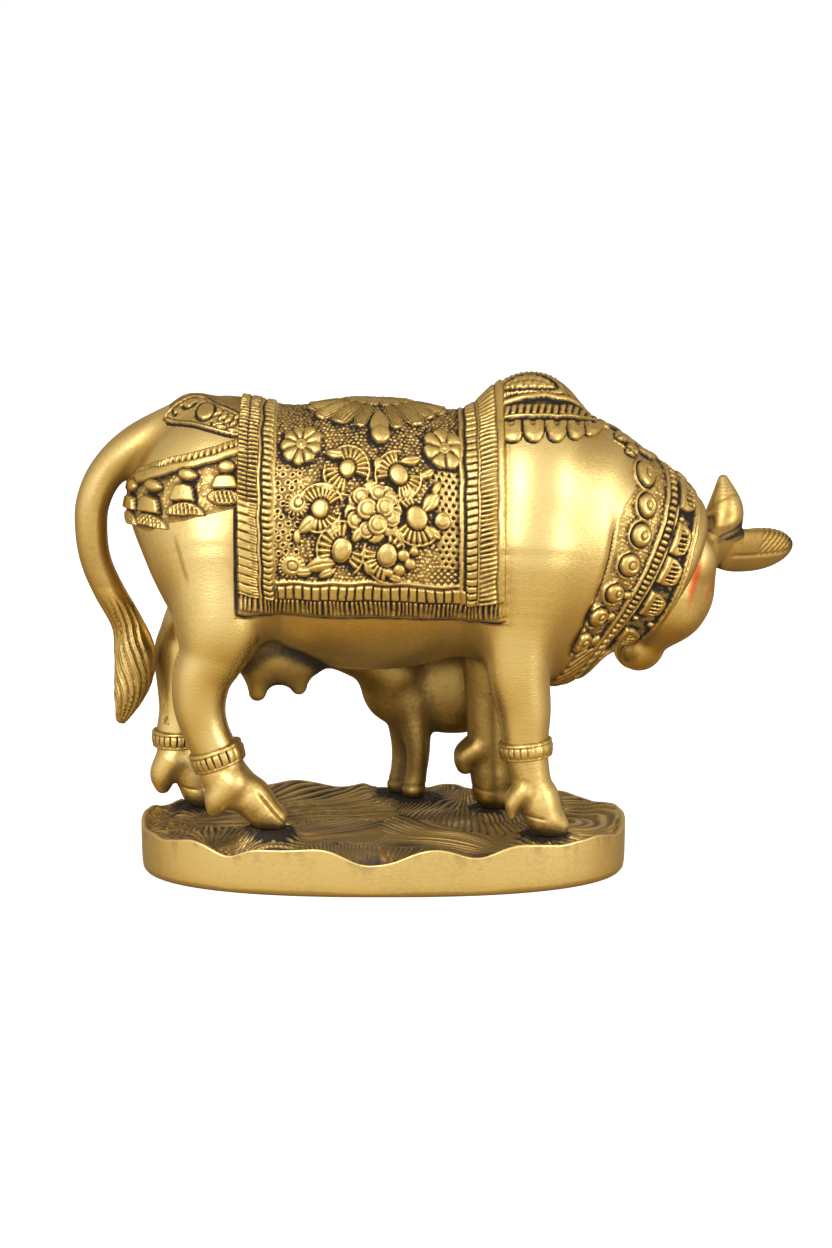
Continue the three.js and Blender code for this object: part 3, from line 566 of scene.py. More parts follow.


# Finishes. Each reads one attribute: 0 on polished metal, 1 in the darkest recesses. It holds real patina,
# and on some pieces painted shade and painted highlights too.


def brass(name, bright, shade, dark, roughness, brushing, blotches=0.12, paint=None, pitting=0.0):
    """Cast brass: polished on the high places, brown to black in the recesses."""
    material = bpy.data.materials.new(name)
    tree = Nodes(material)
    math_node = tree.math
    shader = tree.nodes["Principled BSDF"].inputs
    place = tree.add("ShaderNodeTexCoord").outputs["Object"]

    def noise(scale, detail=3.0, stretch=None):
        vector = place
        if stretch:
            vector = tree.add("ShaderNodeMapping", Vector=place, Scale=stretch).outputs["Vector"]
        return tree.add("ShaderNodeTexNoise", Vector=vector, Scale=scale, Detail=detail).outputs["Fac"]

    cloudy = math_node("MULTIPLY_ADD", noise(55), blotches * 2, -blotches)
    fine = math_node("MULTIPLY_ADD", noise(900, 4), 0.2 + pitting * 0.12, -0.12 - pitting * 0.05)
    # The attribute (real patina with some painted shade and highlight), plus blotches and pits.
    worn = math_node("ADD", math_node("ADD", tree.attribute("patina_and_painted_light"), cloudy), fine, clamp=True)
    between = [a * 0.5 + b * 0.5 for a, b in zip(bright, shade)]
    color = tree.ramp(worn, [(0.0, bright), (0.16, between), (0.42, shade), (0.95, dark)])
    if paint:
        tint = tree.attribute("tint")
        patchy = math_node("MULTIPLY_ADD", noise(420, 4), 1.2, -0.6)
        amount = math_node("ADD", tint, patchy, clamp=True)
        amount = math_node("MULTIPLY", math_node("GREATER_THAN", tint, 0.01), amount, clamp=True)
        color = tree.mix(math_node("MULTIPLY", amount, 0.8), color, (*paint, 1))
    tree.feed(shader["Base Color"], color)
    rough = math_node("MULTIPLY_ADD", worn, 0.42, roughness)
    smudged = math_node("MULTIPLY_ADD", noise(160, 4), 0.12, -0.06)
    tree.feed(shader["Roughness"], math_node("ADD", rough, smudged, clamp=True))
    tree.feed(shader["Metallic"], math_node("MULTIPLY_ADD", worn, -0.55, 1.05, clamp=True))
    brushed = math_node("MULTIPLY", noise(1, 3, (500, 2600, 2600)), brushing)
    height = math_node("ADD", brushed, math_node("MULTIPLY", noise(2200, 2), 0.5))
    if pitting:
        height = math_node("ADD", height, math_node("MULTIPLY", noise(750, 3), pitting))
    bump = tree.add("ShaderNodeBump", Strength=0.28, Distance=0.00012, Height=height)
    tree.feed(shader["Normal"], bump.outputs["Normal"])
    return material


BRIGHT, SHADE, DARK = (0.755, 0.585, 0.25), (0.37, 0.225, 0.05), (0.02, 0.013, 0.008)
polished = brass("polished_brass", BRIGHT, SHADE, DARK, 0.27, 1.6, 0.09)
cast = brass("cast_brass", (0.73, 0.55, 0.22), SHADE, DARK, 0.38, 0.6, 0.24, pitting=2.5)
chased = brass(
    "chased_brass", (0.67, 0.50, 0.185), (0.29, 0.18, 0.055), (0.014, 0.010, 0.007), 0.30, 0.5, pitting=3.0,
)
# Painted shade: a darker copy of the brass for the calf and the far foreleg under the cow, with a satin
# finish.
satin_in_shade = brass(
    "shaded_satin_brass", (0.345, 0.235, 0.075), (0.17, 0.105, 0.035), (0.03, 0.02, 0.014), 0.4, 0.4, 0.34,
    pitting=2.5,
)
painted = brass(
    "painted_brass", BRIGHT, SHADE, DARK, 0.30, 1.0, 0.14, paint=(0.72, 0.09, 0.025), pitting=0.8,
)
stained = brass(
    "ground_brass", BRIGHT, (0.34, 0.24, 0.11), (0.022, 0.016, 0.012), 0.30, 0.9, 0.12,
    paint=(0.05, 0.04, 0.10), pitting=0.6,
)

# Relief. A patch is a grid of rays that meet the dressed cow, lifted by a height in millimetres.


RAY_START = 62.0  # how far out the rays start, in millimetres
RAY_STEPS = 70


def surface(origins, directions, shape, form=dressed, coarse=5):
    """Where the rays of a grid first meet the form from outside, with outward directions."""
    rows = np.unique(np.append(np.arange(0, shape[0], coarse), shape[0] - 1))
    columns = np.unique(np.append(np.arange(0, shape[1], coarse), shape[1] - 1))
    picked = np.ix_(rows, columns)
    start = origins.reshape(*shape, 3)[picked].reshape(-1, 3)
    toward = directions.reshape(*shape, 3)[picked].reshape(-1, 3)
    reach = np.full(len(start), RAY_START)
    for _ in range(RAY_STEPS):
        gap = form((start + toward * reach[:, None]).astype(np.float32))
        reach -= np.clip(gap, -1, 12) * 0.6
    reach = reach.reshape(len(rows), len(columns))
    half = np.stack([np.interp(np.arange(shape[1]), columns, line) for line in reach])
    full = np.stack([np.interp(np.arange(shape[0]), rows, half[:, k]) for k in range(shape[1])], 1).ravel()
    for _ in range(4):
        gap = form((origins + directions * full[:, None]).astype(np.float32))
        full -= np.clip(gap, -1, 1) * 0.9
    points = origins + directions * full[:, None]
    return points, unit(slope_of(form, points.astype(np.float32), 0.9) + 1e-9)


def blurred(values, width):
    """A box blur, twice, over a grid."""
    for axis in (0, 1, 0, 1):
        padded = np.concatenate([
            np.repeat(np.take(values, [0], axis), width, axis), values,
            np.repeat(np.take(values, [-1], axis), width + 1, axis),
        ], axis)
        total = np.cumsum(padded, axis)
        size = values.shape[axis]
        upper = np.take(total, np.arange(2 * width + 1, 2 * width + 1 + size), axis)
        lower = np.take(total, np.arange(size), axis)
        values = (upper - lower) / (2 * width + 1)
    return values


def recess(height, pitch):
    """How far each point lies below its surroundings: dark in grooves, bright on crests."""
    near = blurred(height, max(1, round(0.5 / pitch))) - height
    wide = blurred(height, max(2, round(1.6 / pitch))) - height
    return np.clip(near * 2.6, -0.6, 1) + np.clip(wide * 0.75, -0.5, 1)


BLANK = -0.6
FULL_HEIGHT, ABOVE_IT = 1.7, 0.62  # relief above this height is pressed to this share of the rest


def relief(name, rays, shape, pitch, height, stain, flip=False, form=dressed, shade=0.85):
    """A patch of relief. Parts of it at BLANK are left out; the metal shows through there."""
    points, normals = surface(*rays, shape, form)
    height = np.where(height > FULL_HEIGHT, FULL_HEIGHT + (height - FULL_HEIGHT) * ABOVE_IT, height)
    patina_and_painted_light = np.clip(recess(height, pitch) * shade + stain, 0, 1)
    lifted = points + normals * height.reshape(-1, 1)
    faces = quads(*shape)
    if flip:
        faces = faces[:, ::-1]
    faces = faces[height.ravel()[faces].max(axis=1) > BLANK + 0.05]
    used, faces = np.unique(faces, return_inverse=True)
    attributes = {"patina_and_painted_light": patina_and_painted_light.ravel()[used]}
    return make(name, lifted[used], faces.reshape(-1, 4), chased, attributes=attributes)


def patch(name, first, second, pitch, height_of, rays_of, **options):
    """Relief over the grid of two measures: one function gives its height and stain, one its rays."""
    grid_a, grid_b = np.meshgrid(first, second, indexing="ij")
    height, stain = height_of(grid_a, grid_b)
    rays = rays_of(grid_a.ravel(), grid_b.ravel())
    return relief(name, rays, grid_a.shape, pitch, height, stain, **options)


class Chasing:
    """Relief built up layer by layer: each layer lays a height and a stain where its mask is 1."""

    def __init__(self, height, stain, polish=0.03):
        self.height, self.stain, self.polish = height, stain, polish

    def lay(self, mask, level, stain=None):
        mask = np.asarray(mask, float)
        stain = self.polish if stain is None else stain
        self.height = self.height * (1 - mask) + level * mask
        self.stain = self.stain * (1 - mask) + stain * mask


def blank_work(shape):
    return Chasing(np.full(shape, BLANK), np.full(shape, 0.3))


class Waves:
    """Smooth irregularity of a hand-chased surface."""

    def __init__(self, pitch, count=7):
        angle = random.uniform(0, 2 * math.pi, count)
        rate = 2 * math.pi / pitch * random.uniform(0.6, 1.5, count)
        phase = random.uniform(0, 2 * math.pi, count)
        self.terms = list(zip(np.cos(angle) * rate, np.sin(angle) * rate, phase))

    def __call__(self, u, v):
        return sum(np.sin(a * u + b * v + c) for a, b, c in self.terms) / math.sqrt(len(self.terms))


def scatter(u, v, pitch, jitter=0.18):
    """Staggered marks: the distance to the nearest one, and a number from 0 to 1 of its own."""
    row = np.floor(v / (pitch * 0.87))
    shift = (row % 2) * 0.5 * pitch
    column = np.floor((u + shift) / pitch)
    one = np.mod(np.sin(row * 127.1 + column * 311.7) * 43758.5453, 1)
    two = np.mod(np.sin(row * 269.5 + column * 183.3) * 43758.5453, 1)
    middle_u = (column + 0.5) * pitch - shift + (one - 0.5) * 2 * jitter * pitch
    middle_v = (row + 0.5) * pitch * 0.87 + (two - 0.5) * 2 * jitter * pitch
    return np.hypot(u - middle_u, v - middle_v), np.mod(one + two, 1)


def band(t, low, high, edge=0.3):
    """1 between low and high, with soft edges."""
    begun = smoothstep(low - edge / 2, low + edge / 2, t)
    return begun * (1 - smoothstep(high - edge / 2, high + edge / 2, t))


def teeth(t, pitch, gap=0.3, edge=0.25):
    """1 on each tooth of a row, 0 in the gaps between them."""
    away = np.abs(np.mod(t / pitch, 1) - 0.5) * pitch
    return 1 - smoothstep(pitch / 2 - gap / 2 - edge, pitch / 2 - gap / 2 + edge * 0.2, away)


# Forms laid on the relief. Each gives its height, or NONE outside its outline.
NONE = -9.0


def dome(u, v, at, radius, rise, base, stretch=1.0, flat=2.0):
    away = np.hypot(*from_point(u, v, at, stretch)) / radius
    return np.where(away < 1, base + rise * rounded(away, flat), NONE)


def ringed(u, v, at, radius, rise, base, stretch=1.0, ring=0.55, offset=(0, 0), depth=0.4):
    """A dome with a round line cut in it."""
    body = dome(u, v, at, radius, rise, base, stretch, 3)
    du, dv = from_point(u, v, at, stretch)
    away = np.hypot(du - offset[0], dv - offset[1])
    return body - groove(away - ring * radius, 0.22, depth)


def fan(u, v, at, inner, outer, middle, half, ribs, rise, base, stretch=1.0, scallop=0.5):
    """Ribs that spread from a point over a range of angles, with rounded tips."""
    du, dv = from_point(u, v, at, stretch)
    reach = np.hypot(du, dv)
    turn = np.degrees(np.arctan2(dv, du)) - middle
    turn = np.mod(turn + 180, 360) - 180
    wave = np.abs(np.sin(math.pi * ribs * (turn + half) / (2 * half)))
    tip = outer - scallop * (1 - wave)
    across = np.power(wave, 0.85)
    inside = (np.abs(turn) < half) & (reach > inner) & (reach < tip)
    along = np.clip((tip - reach) / 0.8, 0, 1) ** 0.5
    return np.where(inside, base + rise * across * along, NONE)


def almond(u, v, at, direction, length, width, rise, base, midrib=0.4):
    """A pointed leaf with a groove down its middle."""
    c, s = math.cos(math.radians(direction)), math.sin(math.radians(direction))
    du, dv = from_point(u, v, at)
    along, across = du * c + dv * s, -du * s + dv * c
    share = np.clip(1 - (2 * along / length) ** 2, 0, 1)
    away = np.abs(across) / (width / 2 * share + 1e-6)
    body = base + rise * rounded(away) * np.sqrt(share)
    body = body - groove(across, 0.25, midrib)
    return np.where((away < 1) & (share > 0), body, NONE)


def rosette(u, v, at, radius, petals, rise, base, stretch=1.0, turned=0.0):
    """A round flower of petals with a ringed heart."""
    du, dv = from_point(u, v, at, stretch)
    reach = np.hypot(du, dv) / radius
    wave = np.abs(np.sin(petals / 2 * (np.arctan2(dv, du) + turned)))
    edge = 1 - 0.13 * (1 - wave)
    across = rounded((reach - 0.62) / 0.4) * np.power(wave, 0.4)
    petals_height = np.where((reach < edge) & (reach > 0.2), base + rise * across, NONE)
    heart = ringed(u, v, at, radius * 0.3, rise * 0.8, base + rise * 0.15, stretch, 0.5)
    return np.maximum(petals_height, heart)


def petal(u, v, at, direction, start, end, width, rise, base, ribs=3):
    """A petal that widens away from a point, with ribs along it and a rounded end."""
    c, s = math.cos(math.radians(direction)), math.sin(math.radians(direction))
    du, dv = from_point(u, v, at)
    along = (du * c + dv * s - start) / (end - start)
    across = -du * s + dv * c
    share = np.clip(along, 0, 1)
    half = width / 2 * share**0.6 * rounded(share, 7) + 1e-6
    away = across / half
    body = base + rise * rounded(away) * (0.55 + 0.45 * share)
    body = body - 0.6 * rise * (0.5 + 0.5 * np.cos(math.pi * ribs * (away + 1))) * (share < 0.94)
    return np.where((np.abs(away) < 1) & (along > 0) & (along < 1), body, NONE)


# The saddle cloth. u runs along the cow, v up round her from the hem, both in millimetres.
GIRTH_HEIGHT = 80
CLOTH_REAR, CLOTH_FRONT, HEM_ANGLE = -39.0, 33.5, -34.0


def trunk_rays(x, degrees):
    """Rays out of the trunk's middle line: degrees up from her right side, 90 at the ridge of the back."""
    angle = np.radians(degrees)
    origins = np.stack([x, np.zeros_like(x), np.full_like(x, GIRTH_HEIGHT)], -1)
    return origins, np.stack([np.zeros_like(x), -np.cos(angle), np.sin(angle)], -1)


def folded_degrees(degrees):
    """Degrees up from her right side, and the same again down her left."""
    return 90 - np.abs(degrees - 90)


def girth_degrees(points):
    """The folded degrees at which points lie round the trunk."""
    angle = np.degrees(np.arctan2(points[:, 2] - GIRTH_HEIGHT, -points[:, 1]))
    return folded_degrees(np.where(angle < -90, angle + 360, angle))


def girth_line(x, low, high, count=160):
    """Angles round the trunk and the length of the way round to each of them."""
    angles = np.linspace(low, high, count)
    points, _ = surface(*trunk_rays(np.full(count, float(x)), angles), (count, 1))
    steps = np.linalg.norm(np.diff(points, axis=0), axis=1)
    return angles, np.concatenate([[0], np.cumsum(steps)])


CLOTH_ANGLES, CLOTH_LENGTHS = girth_line(-2.7, HEM_ANGLE - 4, 94)
CLOTH_LENGTHS = CLOTH_LENGTHS - np.interp(HEM_ANGLE, CLOTH_ANGLES, CLOTH_LENGTHS)


def hem_angle(x):
    """The hem hangs level, so its angle changes where the haunch and the shoulder swell."""
    return np.interp(
        x, [-39, -30.5, -22.3, -3, 6.3, 15.8, 23.9, 33.5],
        [-29, -36.9, -35, -33.1, -34.7, -38.2, -40.8, -33.5],
    )


def stretch_down(x):
    return (90 - hem_angle(x)) / (90 - HEM_ANGLE)


def up_cloth(degrees):
    return float(np.interp(degrees, CLOTH_ANGLES, CLOTH_LENGTHS))


def on_cloth(x, degrees):
    return x, up_cloth(90 - (90 - degrees) / stretch_down(x))


wobble_u, wobble_v, worn_spots = Waves(9), Waves(9), Waves(14)
CLOTH_GROUND = 1.0
RIDGE = up_cloth(90)


def cloth_field(u, v):
    """The punched ground between the borders."""
    stipple, own = scatter(u, v, 1.15, 0.25)
    height = CLOTH_GROUND - 0.25 + (0.15 + 0.3 * own) * (1 - smoothstep(0.25, 0.58, stipple))
    rings = scatter(u, v + 0.4, 2.3, 0.14)[0]
    circle = groove(rings - 0.72, 0.24, 0.42) - groove(rings, 0.36, 0.4)
    left = (1 - smoothstep(-22.5, -20.5, u)) * band(v, up_cloth(-8), up_cloth(48), 3)
    height = height * (1 - left) + (CLOTH_GROUND - 0.15 + circle) * left
    dots = scatter(u + 0.3, v, 1.95, 0.08)[0]
    holes = -0.62 * (1 - smoothstep(0.3, 0.62, dots))
    right = smoothstep(13, 15.5, u + 0.12 * (v - up_cloth(20)))
    right = right * (1 - smoothstep(up_cloth(46), up_cloth(50), v))
    height = height * (1 - right) + (CLOTH_GROUND + 0.05 + holes) * right
    net = np.minimum(teeth(u + v, 1.9, 0.5), teeth(u - v, 1.9, 0.5))
    corner = smoothstep(12, 14, u) * (1 - smoothstep(up_cloth(-7), up_cloth(-4), v))
    return height * (1 - corner) + (CLOTH_GROUND - 0.3 + 0.4 * net) * corner


def leaf_flower(u, v, at, disc, fans, stretch=1.15, ring=0.0):
    """A smooth disc with ribbed collars on some of its sides."""
    height = np.full(u.shape, NONE)
    du, dv = from_point(u, v, at, stretch)
    away = np.hypot(du, dv)
    for middle, half, ribs, outer in fans:
        ribbed = fan(u, v, at, disc, outer, middle, half, ribs, 1.35, CLOTH_GROUND, stretch)
        height = np.maximum(height, ribbed)
        turn = np.mod(np.degrees(np.arctan2(dv, du)) - middle + 180, 360) - 180
        rim = groove(away - outer - 0.2, 0.3, 0.7) * (np.abs(turn) < half + 6)
        height = np.maximum(height, np.where(rim > 0.15, CLOTH_GROUND + 0.1 + rim, NONE))
    knob = dome(u, v, at, disc, 1.5, CLOTH_GROUND + 0.6, stretch, 4)
    if ring:
        knob = ringed(u, v, at, disc, 1.4, CLOTH_GROUND + 0.6, stretch, ring)
    moat = (away > disc) & (away < disc + 0.35)
    height = np.where(moat, np.minimum(height, CLOTH_GROUND - 0.2), height)
    return np.maximum(height, knob)


def cloth_flowers(u, v):
    """The bouquet of leaf flowers, the rosettes and the lotus that lies over the back."""
    g = CLOTH_GROUND
    layers = []
    for x, degrees, direction, length, width in [
        (-12.4, 51.5, 160, 6.0, 2.8), (7.8, 49, 20, 6.2, 2.6), (-19.5, 17.5, 215, 7.5, 4.2),
        (-16.2, -4.5, 190, 9.0, 4.4), (13.2, 29, 48, 7.5, 3.8), (-14.6, 36, 150, 5.0, 2.4),
        (7.2, 33, 30, 5.0, 2.6), (-6.4, 12, 240, 5.5, 2.8), (4.6, 11, -60, 5.0, 2.6),
        (-20.8, -9, 185, 5.4, 2.8), (-3.6, -6, 270, 4.6, 2.6), (-3.2, 35.5, 75, 5.0, 2.4),
        (-1.0, 46.5, 90, 4.6, 2.2), (-12.6, 13.5, 215, 5.0, 2.6), (13.6, 13.0, -30, 6.2, 3.0),
        (-22.6, 10.5, 100, 5.0, 2.2), (-14.5, -9.5, 200, 5.2, 2.4), (12.0, 43.0, 35, 5.0, 2.4),
        (3.4, -12.0, -20, 4.4, 2.0), (14.6, 36.5, 70, 4.6, 2.2),
    ]:
        layers.append(almond(u, v, on_cloth(x, degrees), direction, length, width, 1.1, g + 0.15))
    layers += [
        leaf_flower(u, v, on_cloth(-9.1, 43.9), 2.15, [(48, 72, 9, 5.6), (218, 48, 6, 6.0)]),
        leaf_flower(u, v, on_cloth(4.4, 41.2), 2.45, [(142, 52, 7, 5.8), (-40, 52, 7, 5.8)]),
        leaf_flower(u, v, on_cloth(-16.3, 25.4), 2.3, [(82, 66, 9, 5.8), (-80, 52, 6, 5.4)]),
        leaf_flower(u, v, on_cloth(9.2, 20.7), 2.9, [(-88, 62, 8, 6.4), (122, 26, 3, 5.4)]),
        leaf_flower(u, v, on_cloth(-10.6, 3.4), 2.8, [(138, 66, 8, 6.4), (-30, 24, 3, 6.0)], ring=0.82),
        leaf_flower(u, v, on_cloth(1.4, 0.6), 2.7, [(214, 52, 7, 6.2), (60, 30, 3, 4.8)], ring=0.8),
    ]
    for x, degrees, size in [
        (5.8, 0.5, 1.7), (7.6, -4.5, 1.6), (4.6, -7.5, 1.7), (8.6, 2.5, 1.3), (1.8, -8.5, 1.2),
    ]:
        layers.append(dome(u, v, on_cloth(x, degrees), size, 1.2, g + 0.1))
    layers.append(ringed(u, v, on_cloth(16.2, 19.1), 2.3, 1.4, g + 0.1, 1.0, 0.72))
    for x, degrees, size in [(-24.2, -6.6, 3.0), (-22.4, 28.6, 2.8)]:
        at = on_cloth(x, degrees)
        layers.append(ringed(u, v, at, size, 0.8, g, 1.0, 0.45, (0.3, 0.2), 0.5))
        du, dv = from_point(u, v, at)
        reach = np.hypot(du, dv)
        notches = teeth(np.arctan2(dv, du), 0.35, 0.1, 0.08)
        layers.append(np.where(np.abs(reach - size - 0.3) < 0.4, g + 0.55 * notches, NONE))
    centre = on_cloth(-2.3, 23.4)
    flower = rosette(u, v, centre, 7.6, 8, 1.0, g + 0.25, 1.08, 0.3)
    for du, dv, size, level in [
        (-4.6, -2.2, 2.2, 0.5), (-3.4, 4.2, 2.2, 0.5), (1.4, 5.0, 2.1, 0.55), (5.0, -1.6, 2.1, 0.6),
        (-1.8, -4.9, 2.1, 0.6), (4.8, 3.6, 1.9, 0.5), (-1.6, 0.8, 2.7, 1.25), (3.1, 1.2, 2.3, 1.0),
        (1.3, -3.4, 2.5, 1.05),
    ]:
        place = (centre[0] + du, centre[1] + dv)
        away = np.hypot(*from_point(u, v, place, 1.08))
        flower = np.where((away > size) & (away < size + 0.4), np.minimum(flower, g + level - 0.1), flower)
        scale = ringed(u, v, place, size, 0.9, g + level, 1.08, 0.68, (0.2, 0.1), 0.55)
        flower = np.where(away <= size, scale, flower)
    layers.append(flower)
    layers.append(rosette(u, v, on_cloth(-21.6, 58.0), 5.7, 9, 1.7, g, 1.12))
    layers.append(rosette(u, v, on_cloth(16.6, 57.0), 5.8, 7, 1.6, g, 1.12, 0.5))
    top = (-1.0, RIDGE + 2)
    for direction, start, end, width in [
        (-173, 5, 19.0, 7.5), (-7, 5, 18.0, 7.5), (-158, 5, 20.5, 8), (-22, 5, 19.5, 8),
        (-141, 5, 21.0, 8), (-39, 5, 18.5, 7.5), (-124, 5, 20.0, 7.4), (-56, 5, 19.5, 7.4),
        (-106, 6, 19.5, 5.6), (-74, 6, 19.5, 5.6),
    ]:
        layers.append(petal(u, v, top, direction, start, end, width, 0.95, g - 0.2, 6))
    for direction in (-165, -145, -123, -102, -78, -57, -35, -15):
        layers.append(petal(u, v, top, direction, 1, 9.5, 4.4, 0.6, g + 0.1, 3))
    drop = (-0.3, up_cloth(60.5))
    layers.append(almond(u, v, (-0.7, up_cloth(66)), 90, 11, 5.0, 0.9, g + 0.35, 0.25))
    layers.append(dome(u, v, drop, 2.5, 1.5, g + 0.6, 1.15, 2.6))
    return np.maximum.reduce(layers)


def cloth_border(lay, u, w):
    """The frame round the field, the rows of blocks and ticks on every side, and the fringe."""
    low = up_cloth(-15)
    # The frame round the field and its channel.
    lay(band(u, -40, -28.6), CLOTH_GROUND + 0.15, 0.25)
    lay(band(u, 21.9, 40), CLOTH_GROUND + 0.15, 0.25)
    lay(band(w, -9, low + 0.1), CLOTH_GROUND + 0.1, 0.28)
    lay(band(u, 20.9, 21.9, 0.4), CLOTH_GROUND + 0.5)
    lay(band(w, low - 0.4, low + 0.5, 0.4) * band(u, -28.4, 21.9), CLOTH_GROUND + 0.5)
    # Rows of blocks.
    notch = 0.12 * teeth(u * 0.9 + 0.3 * np.sin(w), 1.5, 0.3)
    uneven = 0.25 * smoothstep(-0.3, 0.8, worn_spots(1.6 * u, 1.6 * w))
    lay(band(u, -32.2, -29.6, 0.5) * teeth(w, 1.85, 0.36, 0.25), CLOTH_GROUND + 0.8 + notch, uneven)
    lay(band(u, 23.0, 26.0, 0.5) * teeth(w, 2.15, 0.32, 0.22), CLOTH_GROUND + 0.8 + notch, uneven)
    low_row = band(w, 5.0, 8.7, 0.5) * band(u, -28.6, 22.6)
    lay(low_row * teeth(u, 2.35, 0.36, 0.25), CLOTH_GROUND + 0.8, uneven)
    lay(band(u, -33.5, -32.9, 0.3), CLOTH_GROUND + 0.7)
    lay(band(u, 26.3, 26.9, 0.3), CLOTH_GROUND + 0.55)
    # The rear band: broken ticks above, whole grooves with short ticks between them below.
    grooves = 0.5 * (1 - teeth(w, 2.55, 0.34, 0.12))
    short = 0.42 * (1 - teeth(w, 0.85, 0.3, 0.1)) * band(u, -35.6, -34.0, 0.3)
    rear_band = band(u, CLOTH_REAR, -33.8, 0.5)
    cuts = np.maximum(grooves, short * (grooves < 0.1))
    lay(rear_band, CLOTH_GROUND + 0.95 - cuts, 0.12 + 0.6 * uneven)
    broken = np.minimum(teeth(w, 1.3, 0.42, 0.25), 1 - groove(u + 36.3, 0.3, 0.9))
    rough, own = scatter(u, w, 1.4, 0.25)
    broken = broken * (0.5 + 0.5 * smoothstep(0.2, 0.6, rough + own * 0.4))
    upper = smoothstep(up_cloth(26), up_cloth(30), w)
    lay(rear_band * upper, CLOTH_GROUND + 0.1 + 0.8 * broken, 0.2)
    # The front band and its plain edge.
    ticks = teeth(w, 1.38, 0.42, 0.22) * (0.55 + 0.45 * smoothstep(-0.6, 0.4, worn_spots(u, w)))
    lay(band(u, 27.0, 31.3, 0.4), CLOTH_GROUND + 0.35 + 0.6 * ticks, uneven)
    lay(band(u, 31.7, 33.4, 0.9), CLOTH_GROUND + 0.55, 0.0)
    # The fringe.
    slots = teeth(u + 0.2 * np.sin(u), 1.22, 0.5, 0.25)
    slots = slots * (1 - 0.5 * smoothstep(0.2, 0.9, worn_spots(2.2 * u, 0.8 * w)) * band(w, 0.6, 2.4, 0.8))
    lay(band(w, -0.2, 4.5, 0.5), CLOTH_GROUND - 0.1 + 0.75 * slots, uneven)
    lay(band(w, -0.9, 0.35, 0.8), CLOTH_GROUND - 0.1, 0.3)


def cloth_height(x, v):
    """The height of the cloth's relief and the stain on it, with painted shade and a painted highlight up on
    the back.
    """
    u = x + 0.16 * wobble_u(x, v)
    w = v + 0.16 * wobble_v(x, v)
    height = cloth_field(u, w)
    flowers = cloth_flowers(u, w)
    # Painted shade darkens the ground up on the back, and a painted highlight (the negative part of dull)
    # lightens the lotus flowers there.
    upper = smoothstep(up_cloth(43), up_cloth(54), w)
    patchy = 0.12 * worn_spots(u * 1.7, w * 1.7)
    dull = 0.02 - 0.1 * smoothstep(up_cloth(56), up_cloth(64), w)
    stain = np.where(flowers > height, dull + 0.3 * np.clip(patchy, 0, 1), 0.2 + 0.24 * upper + patchy)
    work = Chasing(np.maximum(height, flowers), stain, 0.04)
    cloth_border(work.lay, u, w)
    # Outside the cloth the grid runs into the cow.
    inside = band(x, CLOTH_REAR, CLOTH_FRONT, 0.5) * smoothstep(-0.95, -0.35, v)
    height = work.height * inside + 0.06 * (1 - inside)
    near = np.maximum(np.maximum(CLOTH_REAR - x, x - CLOTH_FRONT), -0.7 - v)
    edge_wear = 0.5 + 0.5 * np.sin(0.9 * x + 0.7 * v + 2 * worn_spots(x, v))
    stain = np.where(near > 0, -0.35 + 0.55 * edge_wear * np.exp(-near / 0.8), work.stain)
    height = np.where(near > 1.2, -0.5, height)
    return height, stain


def saddle(name, pitch, left):
    def rays(x, v):
        angle = 90 - (90 - np.interp(v, CLOTH_LENGTHS, CLOTH_ANGLES)) * stretch_down(x)
        return trunk_rays(x, 180 - angle if left else angle)

    x = np.arange(CLOTH_REAR - 1.5, CLOTH_FRONT + 1.5, pitch)
    v = np.arange(-2.2, RIDGE + 0.35, pitch)
    return patch(name, x, v, pitch, cloth_height, rays, flip=left)


saddle("saddle_cloth_right", 0.27, False)
saddle("saddle_cloth_left", 0.36, True)


def under_cloth(points):
    """Points of the cow that the cloth hides."""
    inside = (points[:, 0] > CLOTH_REAR + 1) & (points[:, 0] < CLOTH_FRONT - 1)
    return inside & (girth_degrees(points) > hem_angle(points[:, 0]) + 2)


# The collar. Rays meet the neck: forward along it from the collar's first row, degrees up round it.
NECK_MIDDLE = np.array([57.5, 1, 77])
NECK_ALONG = unit([0.82, 0.38, -0.42])
NECK_UP = unit(np.array([0, 0, 1]) - NECK_ALONG * NECK_ALONG[2])
NECK_SIDE = np.cross(NECK_ALONG, NECK_UP)
NECK_DEGREE = 0.47  # millimetres round the neck for each degree


def neck_rays(forward, degrees):
    angle = np.radians(degrees)[:, None]
    origins = NECK_MIDDLE + forward[:, None] * NECK_ALONG
    return origins, NECK_SIDE * np.cos(angle) + NECK_UP * np.sin(angle)


def round_neck(degrees):
    return (90 - degrees) * NECK_DEGREE


# Each medallion, bell and small knob: forward and degrees, and for the round ones the radius.
MEDALLIONS = [
    (-1.4, 57.5, 3.1), (0.2, 39, 2.9), (0.9, 20, 3.0), (1.2, -1.9, 3.2), (1.2, -24.5, 2.75),
    (0.5, -43, 2.45), (0.8, -60, 2.2),
]
BELLS = [(13.9, 57), (14.1, 28.0), (14.5, 5.4), (14.8, -22.5), (15.2, -59), (14.6, -86)]
KNOBS = [(18.4, -40, 1.1), (18.6, -68, 1.2), (12.4, -38, 0.9), (12.2, -74, 1.0), (12.3, 41, 0.8)]
neck_waves = Waves(8)
neck_form = blend(5, trunk, hump, neck)


def fold_line(degrees):
    """Where the fold between the shoulder and the neck runs, forward along the neck."""
    return np.interp(
        degrees, [-90, -65, -46.7, -25.6, -3.6, 10, 28, 50, 90],
        [2.0, 0.7, -1.4, -2.9, -4.6, -6, -7.7, -9, -9],
    )


